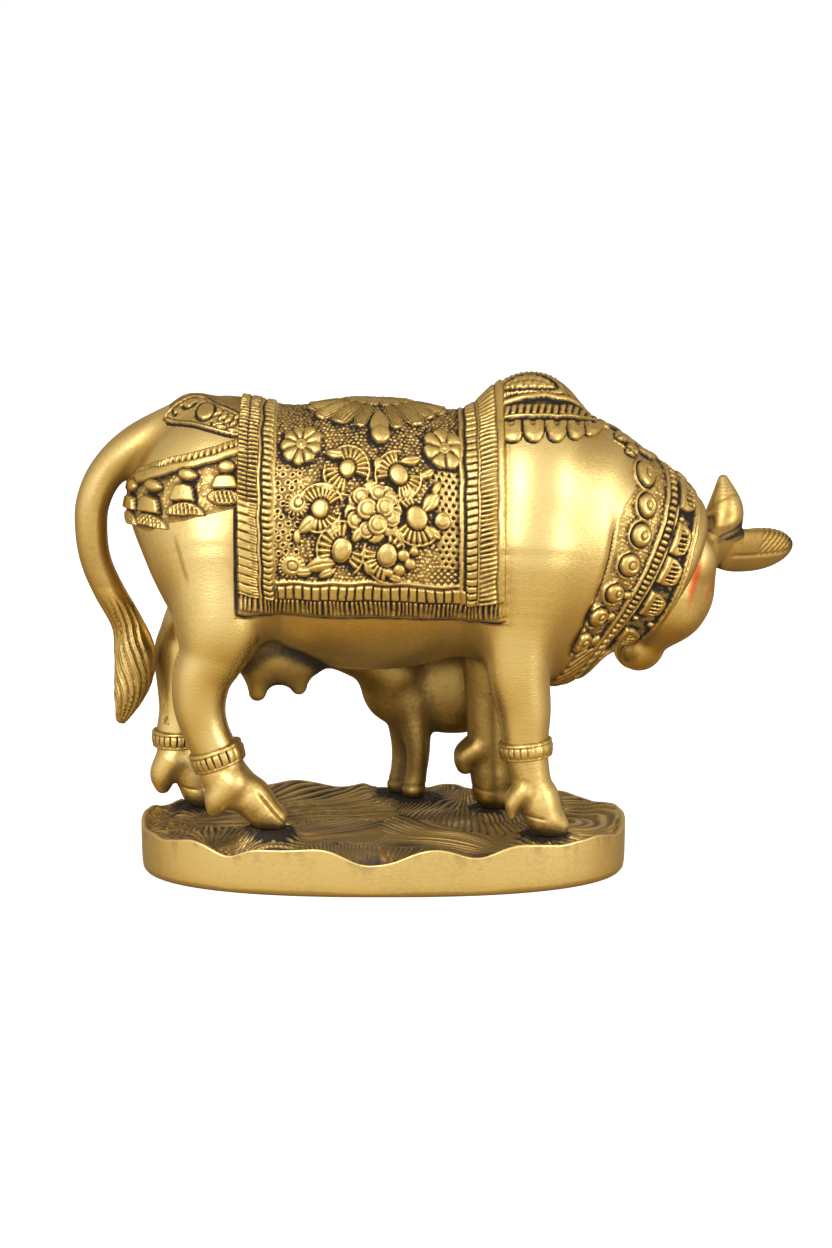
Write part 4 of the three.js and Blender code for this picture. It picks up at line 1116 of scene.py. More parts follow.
def collar_medallion(lay, u, q, forward, degree, radius):
    """A stud with a ring cut in it, in a sunk bed with a rim behind, and low down a bead ahead of it."""
    at = (forward, round_neck(degree))
    du, dv = from_point(u, q, at, 1.15)
    away = np.hypot(du, dv)
    # The sunk bed is stained, darker behind the stud: patina in the groove against the rim, and painted
    # shadow.
    behind = smoothstep(-0.4, 1.2, -du + 0.35 * dv)
    lay(1 - smoothstep(radius + 0.3, radius + 0.9, away), 0.15, 0.3 + 0.25 * behind)
    lay(band(away, radius + 0.5, radius + 1.2, 0.4) * behind, 0.8, 0.08)
    stud = 0.65 + 1.05 * rounded(away / radius, 3.4)
    ring = np.hypot(du - 0.55, dv + 0.2)
    stud = stud - groove(ring - 0.36 * radius, 0.2, 0.5) + 0.15 * (ring < 0.3 * radius)
    lay(away < radius, stud, 0.0)
    if degree < -10:
        bead = (at[0] + radius + 1.25, at[1] - 0.8)
        from_bead = np.hypot(*from_point(u, q, bead, 1.2))
        lay(from_bead < 1.5, 0.15, 0.5)
        lay(from_bead < 1.2, dome(u, q, bead, 1.25, 0.8, 0.6, 1.2), 0.0)


def collar_bell(lay, u, q, forward, degree):
    along, across = u - forward, q - round_neck(degree)
    half = 5.0 - 0.45 * np.clip(along + 0.5, 0, 9) ** 1.3
    lip = (2.2 if degree > 20 else 3.0) - 0.04 * across**2
    cup = band(along, -3.2, lip, 0.5) * (1 - smoothstep(half - 0.4, half + 0.15, np.abs(across)))
    belly = 1.15 * rounded(across / 6.4)
    lay(smoothstep(0, 0.5, cup), 0.3, 0.5)
    lay(cup, 0.55 + belly + groove(along + 2.6, 0.5, 0.15), 0.0)
    slits = 1 - teeth(across + 0.25 * along, 1.6, 0.6, 0.15)
    slits = band(along, -1.3, 1.3, 0.4) * slits * (np.abs(across) < 3.1)
    lay(slits * cup, 0.7, 0.75)


def collar_height(f, turned):
    q = np.abs(round_neck(turned))
    degrees = 90 - q / NECK_DEGREE
    u = f + 0.12 * neck_waves(f, q)
    stipple, own = scatter(u, q * 0.82, 1.1, 0.25)
    bumps = 0.35 * own * (1 - smoothstep(0.2, 0.55, stipple))
    patchy = neck_waves(1.6 * f, 1.6 * q)
    work = blank_work(f.shape)
    lay = work.lay
    rear = fold_line(np.minimum(degrees, 60)) + 0.5
    rear = np.maximum(rear, np.interp(degrees, [28, 46, 90], [-8.5, -5.2, -5.2]))
    into = smoothstep(0, 1.6, f - rear)
    low = smoothstep(-20, -50, degrees)
    front = np.interp(degrees, [-90, -59, -22, 5, 28, 90], [20.3, 20.2, 19.2, 18.3, 16.6, 16.3])
    ground = -0.25 + 0.5 * into + bumps * into
    lay(f > rear - 1.0, ground, -0.6 + (0.66 + 0.25 * low) * into + 0.1 * patchy * into)
    hatch = teeth(u + 0.8 * q, 1.9, 0.6, 0.4) * (degrees < -64) * (f > rear + 0.6) * (f < 6)
    lay(hatch, 0.85, 0.1)
    for medallion in MEDALLIONS:
        collar_medallion(lay, u, q, *medallion)
    lay(band(u, 6.1, 7.2, 0.8), 1.0, 0.0)
    lay(band(u, 7.2, 10.9, 0.25), 0.15, 0.5)
    lay(band(u, 7.7, 9.7, 0.7) * teeth(q, 2.05, 0.5, 0.3), 1.15, 0.0)
    lay(band(u, 10.1, 10.7, 0.3), 0.85, 0.0)
    lay(band(u, 10.9, front + 0.2, 0.2), 0.2 + 0.6 * bumps, 0.6 + 0.3 * np.clip(patchy, -1, 1))
    for forward, degree, size in KNOBS:
        at = (forward, round_neck(degree))
        lay(np.hypot(*from_point(u, q, at)) < size, dome(u, q, at, size, 0.7, 0.4), 0.15)
    for bell in BELLS:
        collar_bell(lay, u, q, *bell)
    crest_leaves = np.maximum.reduce([
        almond(u, q, (forward, side), direction, length, 3.8, 1.0, 0.7)
        for forward, side, direction, length in [
            (-0.5, 1.8, 8, 8.5), (0.8, 6.6, -6, 7.5), (4.4, 3.6, 20, 5.0), (13.8, 2.6, 0, 7.0),
            (13.6, 7.2, -10, 6.5),
        ]
    ])
    lay((crest_leaves > 0) & (np.abs(u - 9) > 2.2), crest_leaves, 0.05)
    lay(band(u, front, front + 0.8, 0.5), 1.2, 0.0)
    lay(band(u, front + 0.8, front + 1.1, 0.2), 0.7, 0.35)
    lay(band(u, front + 1.1, front + 2.1, 0.6), 1.0, 0.0)
    lay(smoothstep(front + 2.1, front + 2.5, u), 0.05, 0.3)
    outside = (f > front + 2.7) | (f < rear - 1.2)
    return np.where(outside, BLANK, work.height), work.stain


def collar(pitch=0.29):
    forward = np.arange(-8.6, 23.2, pitch)
    degrees = np.arange(-90, 270.01, pitch / NECK_DEGREE)
    return patch("collar", forward, degrees, pitch, collar_height, neck_rays, form=neck_form, shade=0.75)


collar()

# The yoke: a row of scallops, a ticked band and a leaf over the hump.
YOKE_DEGREE = 0.66  # millimetres round the shoulders for each degree
YOKE_REAR, YOKE_FRONT = 33.6, 63.5


def scallop_line(x):
    return np.interp(x, [33, 41.2, 47.5, 53.1, 58.0, 62], [62.6, 61.9, 63.7, 69.2, 76.7, 84])


def yoke_height(x, degrees):
    a = folded_degrees(degrees)
    e = (a - scallop_line(x)) * YOKE_DEGREE
    below_ridge = (90 - a) * YOKE_DEGREE
    u = x + 0.1 * neck_waves(x, e)
    work = blank_work(x.shape)
    lay = work.lay
    for middle in (35.4, 41.0, 47.2, 52.8, 57.6):
        half = 2.95 if middle < 50 else 2.7
        across = (u - middle) / half
        bottom = -3.5 * rounded(np.abs(across), 2.6) + 0.2
        around = (np.abs(across) < 1.12) * smoothstep(bottom - 0.5, bottom - 0.1, e) * (e < 4)
        lay(around, 0.12, 0.3)
        inside = (np.abs(across) < 0.97) * smoothstep(bottom, bottom + 0.5, e)
        inside = inside * (1 - smoothstep(3.3, 3.8, e))
        swell = 1.15 * np.sqrt(np.clip(1 - across**2 * 0.8, 0, 1))
        swell = swell * (0.55 + 0.45 * smoothstep(bottom, bottom + 2.4, e))
        beside = np.abs(u - middle) - (e - 1.6) * 0.32
        notch = 0.7 * (1 - smoothstep(0.1, 0.5, beside)) * smoothstep(1.4, 2.0, e)
        lay(inside, 0.3 + swell - notch, 0.35 * (1 - smoothstep(bottom + 0.4, bottom + 1.6, e)))
    lay(smoothstep(3.5, 3.9, e), 0.25, 0.42)
    lay(band(e, 4.7, 5.6, 0.3), 1.3)
    gaps = teeth(u - 0.25 * e, 1.85, 0.5, 0.3)
    lay(band(e, 5.6, 8.6, 0.4), 0.4 + 0.85 * gaps * (0.4 + 0.6 * band(e, 5.4, 8.4, 1.2)), 0.2)
    lay(band(e, 8.8, 9.9, 0.3), 0.35, 0.35)
    lay(band(e, 9.9 + 0.35 * np.sin(x / 3.1), 11.1 + 0.35 * np.sin(x / 3.1), 0.4), 1.1)
    fine = 0.2 * np.sin(below_ridge * 5.2 + 1.3 * np.sin(x / 4))
    lay(smoothstep(11.2, 11.6, e), 0.55 + fine, 0.3)
    ring = np.hypot((u - 40.2) / 8.8, (below_ridge - 3.6) / 3.1)
    lay(ring < 1.1, 0.4, 0.3)
    leaf = almond(u, below_ridge, (40.2, 3.9), 2, 15.0, 4.0, 0.5, 0.75, 0.3)
    veins = 0.12 * np.sin(u * 3.1 + 2.2 * below_ridge)
    leaf = np.where(leaf > 0, leaf + veins + 0.1 * np.sin(u * 5.3), leaf)
    lay(leaf > 0, leaf, 0.0)
    lay(np.abs(ring - 1) < 0.09, 0.85 + 0.2 * teeth(u, 1.3, 0.4, 0.3), 0.1)
    for middle_x, middle_e in ((59.5, 5.0), (61.3, 3.5)):
        leaf = almond(u, e, (middle_x, middle_e - 1.5), -72, 5.2, 2.0, 0.7, 0.5, 0.3)
        lay(leaf > 0, leaf, 0.05)
    outside = (x < YOKE_REAR - 0.3) | (x > YOKE_FRONT - 0.6)
    return np.where(outside, BLANK, work.height), work.stain


def yoke(pitch=0.29):
    x = np.arange(YOKE_REAR - 1.2, YOKE_FRONT + 0.4, pitch)
    degrees = np.arange(52, 128.01, pitch / YOKE_DEGREE)
    return patch("yoke", x, degrees, pitch, yoke_height, trunk_rays)


yoke()

# Leaves that point back along the crest of the neck, between the yoke and the collar.


def crest_height(f, turned):
    q = np.abs(round_neck(turned))
    work = blank_work(f.shape)
    for forward, side, direction, length, width in [
        (-6.9, 0.0, 0, 10.5, 5.2), (-5.2, 5.0, -20, 9.5, 4.6), (-8.6, 6.4, -34, 6.5, 3.6),
        (-5.6, 9.6, -38, 7.0, 3.8),
    ]:
        shadow = almond(f, q, (forward, side), direction, length + 1.2, width + 1.2, 0.1, 0.1, 0.0)
        work.lay((shadow > 0) & (work.height < 0.2), 0.12, 0.4)
        leaf = almond(f, q, (forward, side), direction, length, width, 0.9, 0.5, 0.45)
        work.lay(leaf > work.height, leaf, 0.03)
    work.lay(np.abs(q - 12.2 - 0.25 * f) < 0.4, 0.4, 0.2)
    return np.where(f < -12.4, BLANK, work.height), work.stain


def crest(pitch=0.3):
    forward = np.arange(-13.2, -3.6, pitch)
    degrees = np.arange(62, 118.01, pitch / NECK_DEGREE)
    return patch("crest_leaves", forward, degrees, pitch, crest_height, neck_rays)


crest()

# The rump: a long leaf on each side of the back, and a strap with bells round the haunches.
LEAF_DEGREE = 0.62  # millimetres round the rump for each degree


def rump_leaf_height(x, degrees):
    """A leaf with a doubled outline, a disc and crescents in it, and fine lines between it and the ridge."""
    down = (90 - folded_degrees(degrees)) * LEAF_DEGREE
    upper = np.interp(
        x, [-59.8, -58.5, -56, -52, -48.9, -44.4, -40.1, -37.9], [5.4, 4.0, 2.8, 1.8, 2.0, 7.0, 9.6, 10.8],
    )
    lower = np.interp(
        x, [-59.8, -59, -56.8, -53.7, -50.3, -48, -45.2, -43.3, -39.8, -37.9],
        [5.6, 7.2, 9.0, 11.6, 13.8, 15.2, 16.4, 17.2, 17.9, 17.7],
    )
    into = np.minimum((down - upper) * 0.8, (lower - down) * 0.85)
    speck, own = scatter(x, down, 1.2, 0.25)
    grain = own * (1 - smoothstep(0.2, 0.6, speck))
    work = blank_work(x.shape)
    lay = work.lay
    streaks = 0.5 + 0.5 * np.sin(down * 6.5 + 0.8 * np.sin(x * 0.9) + 1.2 * neck_waves(x, down))
    lay(down < upper + 0.3, 0.45 + 0.22 * streaks, 0.42 - 0.2 * streaks)
    lay(band(into, -0.7, 0.15, 0.3), 0.15, 0.3)
    lay(smoothstep(0.0, 0.3, into), 0.85, -0.1)
    lay(band(into, 0.9, 1.25, 0.25), 0.35, 0.5)
    lay(smoothstep(1.2, 1.5, into), 0.6 + 0.15 * grain, -0.1 + 0.12 * grain)
    disc = np.hypot((x + 48.1) / 2.3, (down - 8.8) / 3.2)
    lay(band(disc, 0.95, 1.28, 0.12), 0.1, 0.85)
    lay(disc < 1, 0.6 + 0.6 * rounded(disc, 6), -0.15)
    crescent = np.hypot((x + 52.9) / 2.0, (down - 4.0) / 2.2)
    lay(band(crescent, 0.85, 1.2, 0.15) * (down > 4.6), 0.1, 0.95)
    eyelet = np.hypot((x + 56.4) / 1.0, (down - 5.4) / 1.4)
    lay(band(eyelet, 0.7, 1.15, 0.15) * (x < -55.8), 0.1, 0.85)
    for middle_x, middle_d, direction, length in [
        (-44.6, 10.4, -40, 3.4), (-43.2, 11.9, -42, 3.4), (-41.7, 12.9, -45, 3.2), (-40.2, 13.8, -48, 3.0),
        (-43.6, 15.2, 8, 3.6), (-40.2, 16.2, 5, 4.0), (-39.4, 11.6, -50, 2.6),
    ]:
        around = almond(x, down, (middle_x, middle_d), direction, length + 0.9, 2.0, 0.1, 0.1, 0.0)
        lay((around > 0) & (work.height < 0.8), 0.2, 0.6)
        leaf = almond(x, down, (middle_x, middle_d), direction, length, 1.25, 0.6, 0.6, 0.0)
        lay(leaf > 0, leaf, 0.0)
    lay((np.abs(x + 46.4) < 0.3) & (np.abs(down - 14.0) < 0.9), 0.1, 0.9)
    outside = (x < -60.4) | ((into < -0.7) & (down > upper))
    spine_end = smoothstep(-60.5, -55, x)
    height = np.where(down < upper, work.height * spine_end - 0.2 * (1 - spine_end), work.height)
    return np.where(outside, BLANK, height), work.stain


def rump_leaf(pitch=0.3):
    x = np.arange(-62.6, -38.4, pitch)
    degrees = np.arange(57, 123.01, pitch / LEAF_DEGREE)
    return patch("rump_leaf", x, degrees, pitch, rump_leaf_height, trunk_rays, form=cow)


rump_leaf()

# The strap with bells. Its places are in degrees round the middle of the haunches.
RUMP_MIDDLE = np.array([-43, 0, 87])
RUMP_DEGREE = 0.41  # millimetres round the haunches for each degree


def rump_rays(back, up, left):
    """Rays from the middle of the haunches: degrees back from her side, degrees up."""
    a, e = np.radians(back), np.radians(up)
    side = 1 if left else -1
    directions = np.stack([-np.sin(a) * np.cos(e), side * np.cos(a) * np.cos(e), np.sin(e)], -1)
    return np.broadcast_to(RUMP_MIDDLE, directions.shape), directions


# Skirt: back, up, half width, height. Body: back, half width, foot, top. Knob: back, up, half width.
STRAP_BELLS = [
    ((-1.1, 18.7, 9.9, 9.0), (-1.8, 8.3, 24.0, 32.0), (-3.2, 36.2, 6.2)),
    ((23.3, 11.0, 12.4, 8.7), (25.3, 8.3, 15.8, 25.6), (23.6, 31.2, 6.6)),
    ((47.7, 2.3, 13.5, 7.8), (49.3, 8.6, 7.0, 15.9), (48.0, 22.2, 7.2)),
    ((70.5, 1.6, 10.0, 7.4), (70.5, 8.4, 6.2, 14.0), (70.5, 19.4, 6.4)),
]


def strap_bell_body(lay, a, e, middle, wide, low, high):
    rising = (e - low) / (high - low)
    du = a - middle
    half = wide * (1 - 0.34 * np.clip(rising, 0, 1) ** 1.5)
    # A sunk bed round the body, stained darker as painted shadow, heavier on its forward side.
    near = smoothstep(3.0, 0.6, np.abs(du) - half) * band(e, low - 0.6, high + 1.4, 1.0)
    lay(near * (0.55 + 0.45 * (du < 0)), 0.15, 0.2)
    top = high - 0.02 * np.abs(du) ** 2.2
    body = band(e, low, top, 0.9) * (1 - smoothstep(half - 0.7, half + 0.2, np.abs(du)))
    swell = 1.25 * rounded(du / (half + 3.0)) * (1 - 0.25 * np.clip(rising, 0, 1))
    lay(body, 0.85 + swell, 0.0)


def strap_bell_skirt(lay, a, e, middle, base, half, tall):
    """The ribbed skirt under a bell: an oval on the first one, and flat below on the others."""
    du = a - middle
    across, upward = du / half, (e - base - 0.09 * (middle > 40) * du) / (tall / 2)
    if middle < 10:
        oval = np.hypot(across, upward)
    else:
        oval = np.where(upward > -0.85, np.hypot(across, np.clip((upward + 0.85) / 1.85, 0, 9)), 9)
    lay(oval < 1.1, 0.25, 0.2)
    lay(oval < 1, 0.7 + 0.9 * rounded(oval, 4), 0.0)
    ribs = teeth(du - 0.25 * (e - base), 2.7, 1.0, 0.45)
    lay((oval < 0.82) & (upward > -0.66), 0.8 + 0.75 * ribs, 0.1)


def strap_bell_knob(lay, a, e, middle, up, half):
    knob = np.hypot((a - middle) / half, (e - up) / 3.3)
    lay(knob < 1.2, 0.35, 0.2)
    lay(knob < 1, 0.6 + 1.5 * rounded(knob, 2.5), 0.0)


def strap_height(back, up):
    wave = 0.3 * neck_waves(back * RUMP_DEGREE, up * RUMP_DEGREE)
    a, e = back + wave, up + wave
    bar_top = np.interp(back, [-16, -4.3, 25.5, 52.5, 78, 92], [48.2, 46.6, 39.2, 32.3, 24.5, 21.0])
    bar_low = np.interp(back, [-15, -4.2, 24.4, 49.1, 78, 92], [44.1, 41.6, 34.6, 26.2, 17.6, 14.0])
    foot = np.interp(back, [-16, -6, 9, 22, 36, 49, 62, 90], [13, 12, 8.5, 4.5, 2, -4, -3, 2])
    stipple, own = scatter(a * RUMP_DEGREE, e * RUMP_DEGREE, 1.0, 0.25)
    bumps = 0.32 * own * (1 - smoothstep(0.2, 0.55, stipple))
    patchy = neck_waves(back * 0.5, up * 0.5)
    fading = smoothstep(foot - 1.0, foot + 4.0, e)
    work = blank_work(back.shape)
    lay = work.lay
    ground = 0.02 + 0.35 * fading + bumps * fading
    lay(band(e, foot - 1.5, bar_low + 1, 2.5), ground, -0.35 + 0.45 * fading + 0.12 * patchy)
    worn = smoothstep(40, 62, back)
    tick_top = bar_top + 4.6 - 1.5 * worn
    lay(band(e, bar_top - 0.4, tick_top + 0.6, 0.7), 0.2, 0.42 - 0.2 * worn)
    blocks = teeth(a + (0.1 + 0.25 * worn) * (e - bar_top), 4.6 - 1.4 * worn, 1.0 + 0.8 * worn, 0.9)
    lay(band(e, bar_top + 0.3, tick_top - 0.3 - 0.5 * (1 - blocks), 1.0) * blocks, 0.95 - 0.35 * worn, 0.0)
    lay(band(e, bar_low - 0.8, bar_low, 0.9), 0.25, 0.2)
    swollen = rounded((e - bar_low) / (bar_top - bar_low) * 2 - 1, 4)
    lay(band(e, bar_low, bar_top, 0.7), 0.5 + 0.75 * swollen, 0.0)
    for skirt, body, knob in STRAP_BELLS:
        strap_bell_body(lay, a, e, *body)
        strap_bell_skirt(lay, a, e, *skirt)
        strap_bell_knob(lay, a, e, *knob)
    return work.height, work.stain


def strap(name, left, pitch):
    back = np.arange(-17, 93, pitch / RUMP_DEGREE)
    up = np.arange(-8, 60, pitch / RUMP_DEGREE)

    def rays(a, e):
        return rump_rays(a, e, left)

    return patch(name, back, up, pitch, strap_height, rays, flip=not left, shade=0.6)


strap("bell_strap_right", False, 0.29)
strap("bell_strap_left", True, 0.4)

# Anklets: ribbed rings, each closed and sunk into its leg. Their profile, from the foot up: the share of
# the height from the middle, and how far the ring stands out there.
ANKLET_PROFILE = [
    (-0.5, -2.2), (-0.5, -0.1), (-0.46, 0.3), (-0.4, 0.42), (-0.35, 0.3), (-0.3, 0.45), (-0.1, 0.65),
    (0.1, 0.7), (0.22, 0.55), (0.27, 0.42), (0.32, 0.58), (0.4, 0.55), (0.47, 0.25), (0.5, -0.3),
    (0.5, -2.2),
]


def anklet(name, ankle, lean, grooved, radius=6.9, tall=5.0, deep=0.45, count=240):
    """A closed ring. Its grooves are sharp over one part of the way round and worn away over the rest."""
    axis = unit(lean)
    side = unit(np.cross([0, 1, 0], axis))
    ahead = np.cross(axis, side)
    around = np.linspace(0, 2 * math.pi, count, endpoint=False)
    outward = np.cos(around)[:, None] * side + np.sin(around)[:, None] * ahead
    sharp = smoothstep(-0.35, 0.25, np.cos(around - math.radians(grooved)))
    ticks = 1 - teeth(around * radius + 0.3 * np.sin(3 * around), 1.95, 0.3, 0.14)
    pits = 0.12 * np.sin(around * 23 + 2 * np.sin(around * 5))
    rings, marks = [], []
    for share, proud in ANKLET_PROFILE:
        low = abs(share) < 0.31
        cut = deep * ticks * sharp * low + pits * (1 - sharp) * (0.5 + 0.5 * math.sin(share * 17))
        reach = radius + proud - cut
        spot = np.array(ankle) + axis * share * tall
        rings.append(spot + reach[:, None] * outward)
        seam = 0.3 * (abs(share - 0.27) < 0.03) + 0.25 * (abs(share + 0.35) < 0.02)
        seam += 0.5 * (abs(share) >= 0.5)
        marks.append(np.clip(3.1 * deep * ticks * sharp * low + seam, 0, 1))
    faces = quads(len(ANKLET_PROFILE), count, True, True)[:, [0, 3, 2, 1]]
    return make(name, np.concatenate(rings), faces, chased, attributes={"patina_and_painted_light": np.concatenate(marks)})


anklet("right_hind_anklet", ANKLES["right_hind"], (-0.35, 0, 1), 215, 7.1, 5.7)
anklet("left_hind_anklet", ANKLES["left_hind"], (0, 0, 1), 270)
anklet("right_fore_anklet", ANKLES["right_fore"], (-0.1, 0, 1), 190, deep=0.2)

# The cow's own skin.


def skin_piece(
    name, form, low, high, cell, keep=None, material=polished, stain=None, tint=None,
    softness=0.15, deepest=0.55,
):
    """A skin over the form between two corners, darker in its hollows, with a little painted shade
    underneath.
    """
    points, faces, normals = skin(form, low, high, cell, keep, softness)
    patina_and_painted_light = np.minimum(hollowness(form, points, normals), deepest)
    # Painted shade: faces that look down are darkened a little.
    patina_and_painted_light = np.clip(patina_and_painted_light + 0.12 * smoothstep(0.1, 0.95, -normals[:, 2]), 0, 1)
    if stain is not None:
        patina_and_painted_light = np.clip(patina_and_painted_light + stain(points), 0, 1)
    attributes = {"patina_and_painted_light": patina_and_painted_light}
    if tint is not None:
        attributes["tint"] = tint(points)
    return make(name, points, faces, material, normals, attributes=attributes)


def in_head(points, margin=0.0):
    """The head's side of the cut through the neck, with the whole of the horns."""
    return (neck_cut(points) > 1.0 - margin) | ((points[:, 0] > 84 - margin) & (points[:, 2] > 84 - margin))


def in_tail(points):
    behind = points[:, 0] < -60 - 0.25 * (points[:, 2] - 20)
    return behind & (points[:, 2] < 66) & (points[:, 2] > 24) & (points[:, 1] < 12.6)


def ankle_heights(points):
    """How high the ankle is above which each point's leg belongs to the body."""
    right = points[:, 1] < 0
    hind = np.where(right, ANKLES["right_hind"][2], ANKLES["left_hind"][2])
    fore = np.where(right, ANKLES["right_fore"][2], ANKLES["left_fore"][2])
    return np.where(points[:, 0] < 0, hind, fore)


def in_left_foreleg(points):
    return (points[:, 1] > 5) & (points[:, 0] > 12) & (points[:, 0] < 46) & (points[:, 2] < 48)


def carved(form, cut, reach=3, where=None):
    """The form with what the cut takes off, which is worked out only close to its surface."""

    def cut_form(points):
        values = form(points)
        close = np.abs(values) < reach
        if where is not None:
            close &= where(points)
        near = np.flatnonzero(close)
        values[near] += cut(points[near]).astype(np.float32)
        return values

    return cut_form


def head_cut(points):
    """The eyes, mouth, nostrils and ribs of the ears."""
    down, side, front = head_coordinates(points)
    cut = np.zeros(len(points), np.float32)
    low = smoothstep(31.5, 34.5, down)
    cut += groove(front + 1.2 + 0.06 * (down - 37.6) ** 2, 0.5, 0.8) * low * (np.abs(side) < 8.6)
    for sign in (1, -1):
        cut += 1.0 * np.exp(-(((down - 38.1) / 0.9) ** 2 + ((side - sign * 4.4) / 0.9) ** 2)) * (front > 3)
        eye = np.hypot((down - 12.5) / 1.5, front - 3.6)
        outward = sign * side > 4
        cut += groove(eye - 2.5, 0.35, 0.35) * outward * (np.abs(front - 3.6) < 5)
        cut += groove(eye - 1.0, 0.3, 0.2) * outward
    middle = 0.5 - 0.233 * (side - 4)
    ribs = 0.35 * np.abs(np.sin(side * 1.7 + 0.9 * down)) ** 2
    ribs = ribs * band(side, 19, 31, 2) * smoothstep(0.4, -0.6, down - middle)
    cut += np.where(side > 9, ribs + groove(down - middle, 0.6, 0.35) * band(side, 11, 30, 4), 0)
    return cut


def head_marks_and_shade(points):
    """Dark marks on the horns and brown at the roots of the ears, with painted shade over the lower half of
    the ear.
    """
    down, side, front = head_coordinates(points)
    horn_mark = (down < -5) & (np.abs(side) < 12)
    streak = 0.5 + 0.5 * np.sin(down * 1.1 + side * 0.8 + 2 * np.sin(front))
    # Painted shade: the lower half of the ear, below its midrib, is darkened.
    ear_shaded_side = smoothstep(-1.5, 1.5, down - 0.5 + 0.233 * (side - 4))
    ear_part = smoothstep(12, 13, side) * (0.04 + 0.2 * ear_shaded_side) * (1 - 0.8 * smoothstep(19, 25, side))
    ear_part = ear_part + 0.26 * smoothstep(27, 32, side) * (0.6 + 0.4 * np.sin(down * 2 + side * 1.3))
    root = 0.3 * band(side, 4, 9, 2) * (down < 9) * (down > -6)
    marks = 0.5 + 0.5 * np.sin(down * 2.3 + side * 1.9 + 3 * np.sin(front * 0.9))
    low_horn = smoothstep(-15, -7, down) * marks**2
    muzzle = -0.25 * smoothstep(27, 33, down)
    return np.where(horn_mark, 0.16 + 0.3 * streak**3 + 0.35 * low_horn, 0.85 * ear_part + root + muzzle)


def head_paint(points):
    """Two strokes of orange-red paint down the cheek."""
    one = np.hypot((points[:, 0] - 88.8 - 0.2 * (points[:, 2] - 70)) / 1.0, (points[:, 2] - 69.5) / 8.5)
    two = np.hypot((points[:, 0] - 92.6 - 0.25 * (points[:, 2] - 64)) / 0.7, (points[:, 2] - 64) / 4)
    near_side = 1 - smoothstep(13, 17, points[:, 1])
    return (np.clip(1.6 - 1.1 * one, 0, 1) + 0.6 * np.clip(1.6 - 1.1 * two, 0, 1)) * near_side


def foot(name):
    """A leg with a cleft in the hoof and a crease above it."""
    hoof_x, hoof_y = HOOVES[name]

    def cut(points):
        x, y, z = points.T
        ahead = x - hoof_x
        low = 1 - smoothstep(9, 12, z)
        cleft = groove(y - hoof_y, 0.45, 0.9) * smoothstep(2.0, 5.0, ahead + 0.6 * (z - 6)) * low
        if name == "right_hind":
            crease = groove(ahead - 6.6 + 0.74 * (z - 6.0), 0.4, 0.35) * band(z, 4, 13, 3) * (y < hoof_y)
        else:
            crease = groove(z - 5.6 + 0.15 * ahead, 0.4, 0.25) * band(ahead, -6, 1, 3) * low
        return cleft + crease

    return carved(leg(name), cut)


def tail_cut(points):
    """The wavy locks of the tail's brush, which run down to its tip."""
    x, y, z = points.T
    path_x, path_y, path_z = np.array(tail_path)[::-1, :3].T
    around = np.arctan2(y - np.interp(z, path_z, path_y), x - np.interp(z, path_z, path_x))
    wave = 0.34 * np.sin(z / 5.2 + 1.5 * np.sin(around)) + 0.025 * z
    lock = np.abs(np.sin(6.5 * (around + wave)))
    fine = np.abs(np.sin(17 * (around + wave)))
    depth = (0.6 * (1 - lock**0.6) + 0.2 * (1 - fine)) * (1 - smoothstep(58, 65, z))
    return depth * ((x < -58) & (z > 25) & (y < 12.4))


def cow_stain_and_shade(points):
    """Darker at the udder, by the cloth, under the belly and on the tail, with a scratch on the haunch. The
    darkening at the udder and under the belly is painted shade.
    """
    x, y, z = points.T
    # Painted shade at the udder, low between the legs.
    udder_part = (1 - smoothstep(50, 60, z)) * band(x, -48, -12, 6) * (np.abs(y) < 15) * 0.42
    below_hem = (hem_angle(x) - girth_degrees(points)) * 0.5
    beside = np.maximum(np.maximum(CLOTH_REAR - x, x - CLOTH_FRONT), below_hem)
    cloth_edge = 0.4 * np.exp(-np.clip(beside, 0, 50) / 1.0)
    # Painted shade under the belly.
    belly = 0.12 * (1 - smoothstep(46, 66, z)) * band(x, -30, 30, 12)
    scratch = groove(x + 55.6 - 0.29 * (83.3 - z), 0.5, 0.4) * band(z, 73, 84, 4) * (y < 0)
    tail = 0.13 * smoothstep(-62, -67, x)
    return udder_part + cloth_edge + belly + scratch + tail


def neck_fold(points):
    """The fold between her shoulder and her neck."""
    offset = points - NECK_MIDDLE
    degrees = np.degrees(np.arctan2(offset @ NECK_UP, np.abs(offset @ NECK_SIDE)))
    away = offset @ NECK_ALONG - fold_line(degrees)
    depth = groove(away, np.where(away > 0, 3.4, 1.5), 0.8) * (1 - smoothstep(10, 34, degrees))
    return depth * smoothstep(-76, -60, degrees) * smoothstep(46, 54, points[:, 2])


def in_body(points):
    """What no other piece covers."""
    hidden = under_cloth(points) | in_head(points) | in_tail(points) | in_left_foreleg(points)
    return ~hidden & (points[:, 2] > ankle_heights(points) - 1)


def in_brush(points):
    """The brush's part of the tail, which reaches a little into the body's."""
    x, y, z = points.T
    return (x < -59.4 - 0.25 * (z - 20)) & (z < 66.8) & (z > 23.5) & (y < 13.4)


def in_left_foreleg_piece(points):
    """The dull foreleg beside the calf, darkened as painted shade, a little more of it than the body's skin
    leaves out.
    """
    x, y, z = points.T
    return (z < 49) & (y > 4.4) & (x > 11.4) & (x < 46.6)


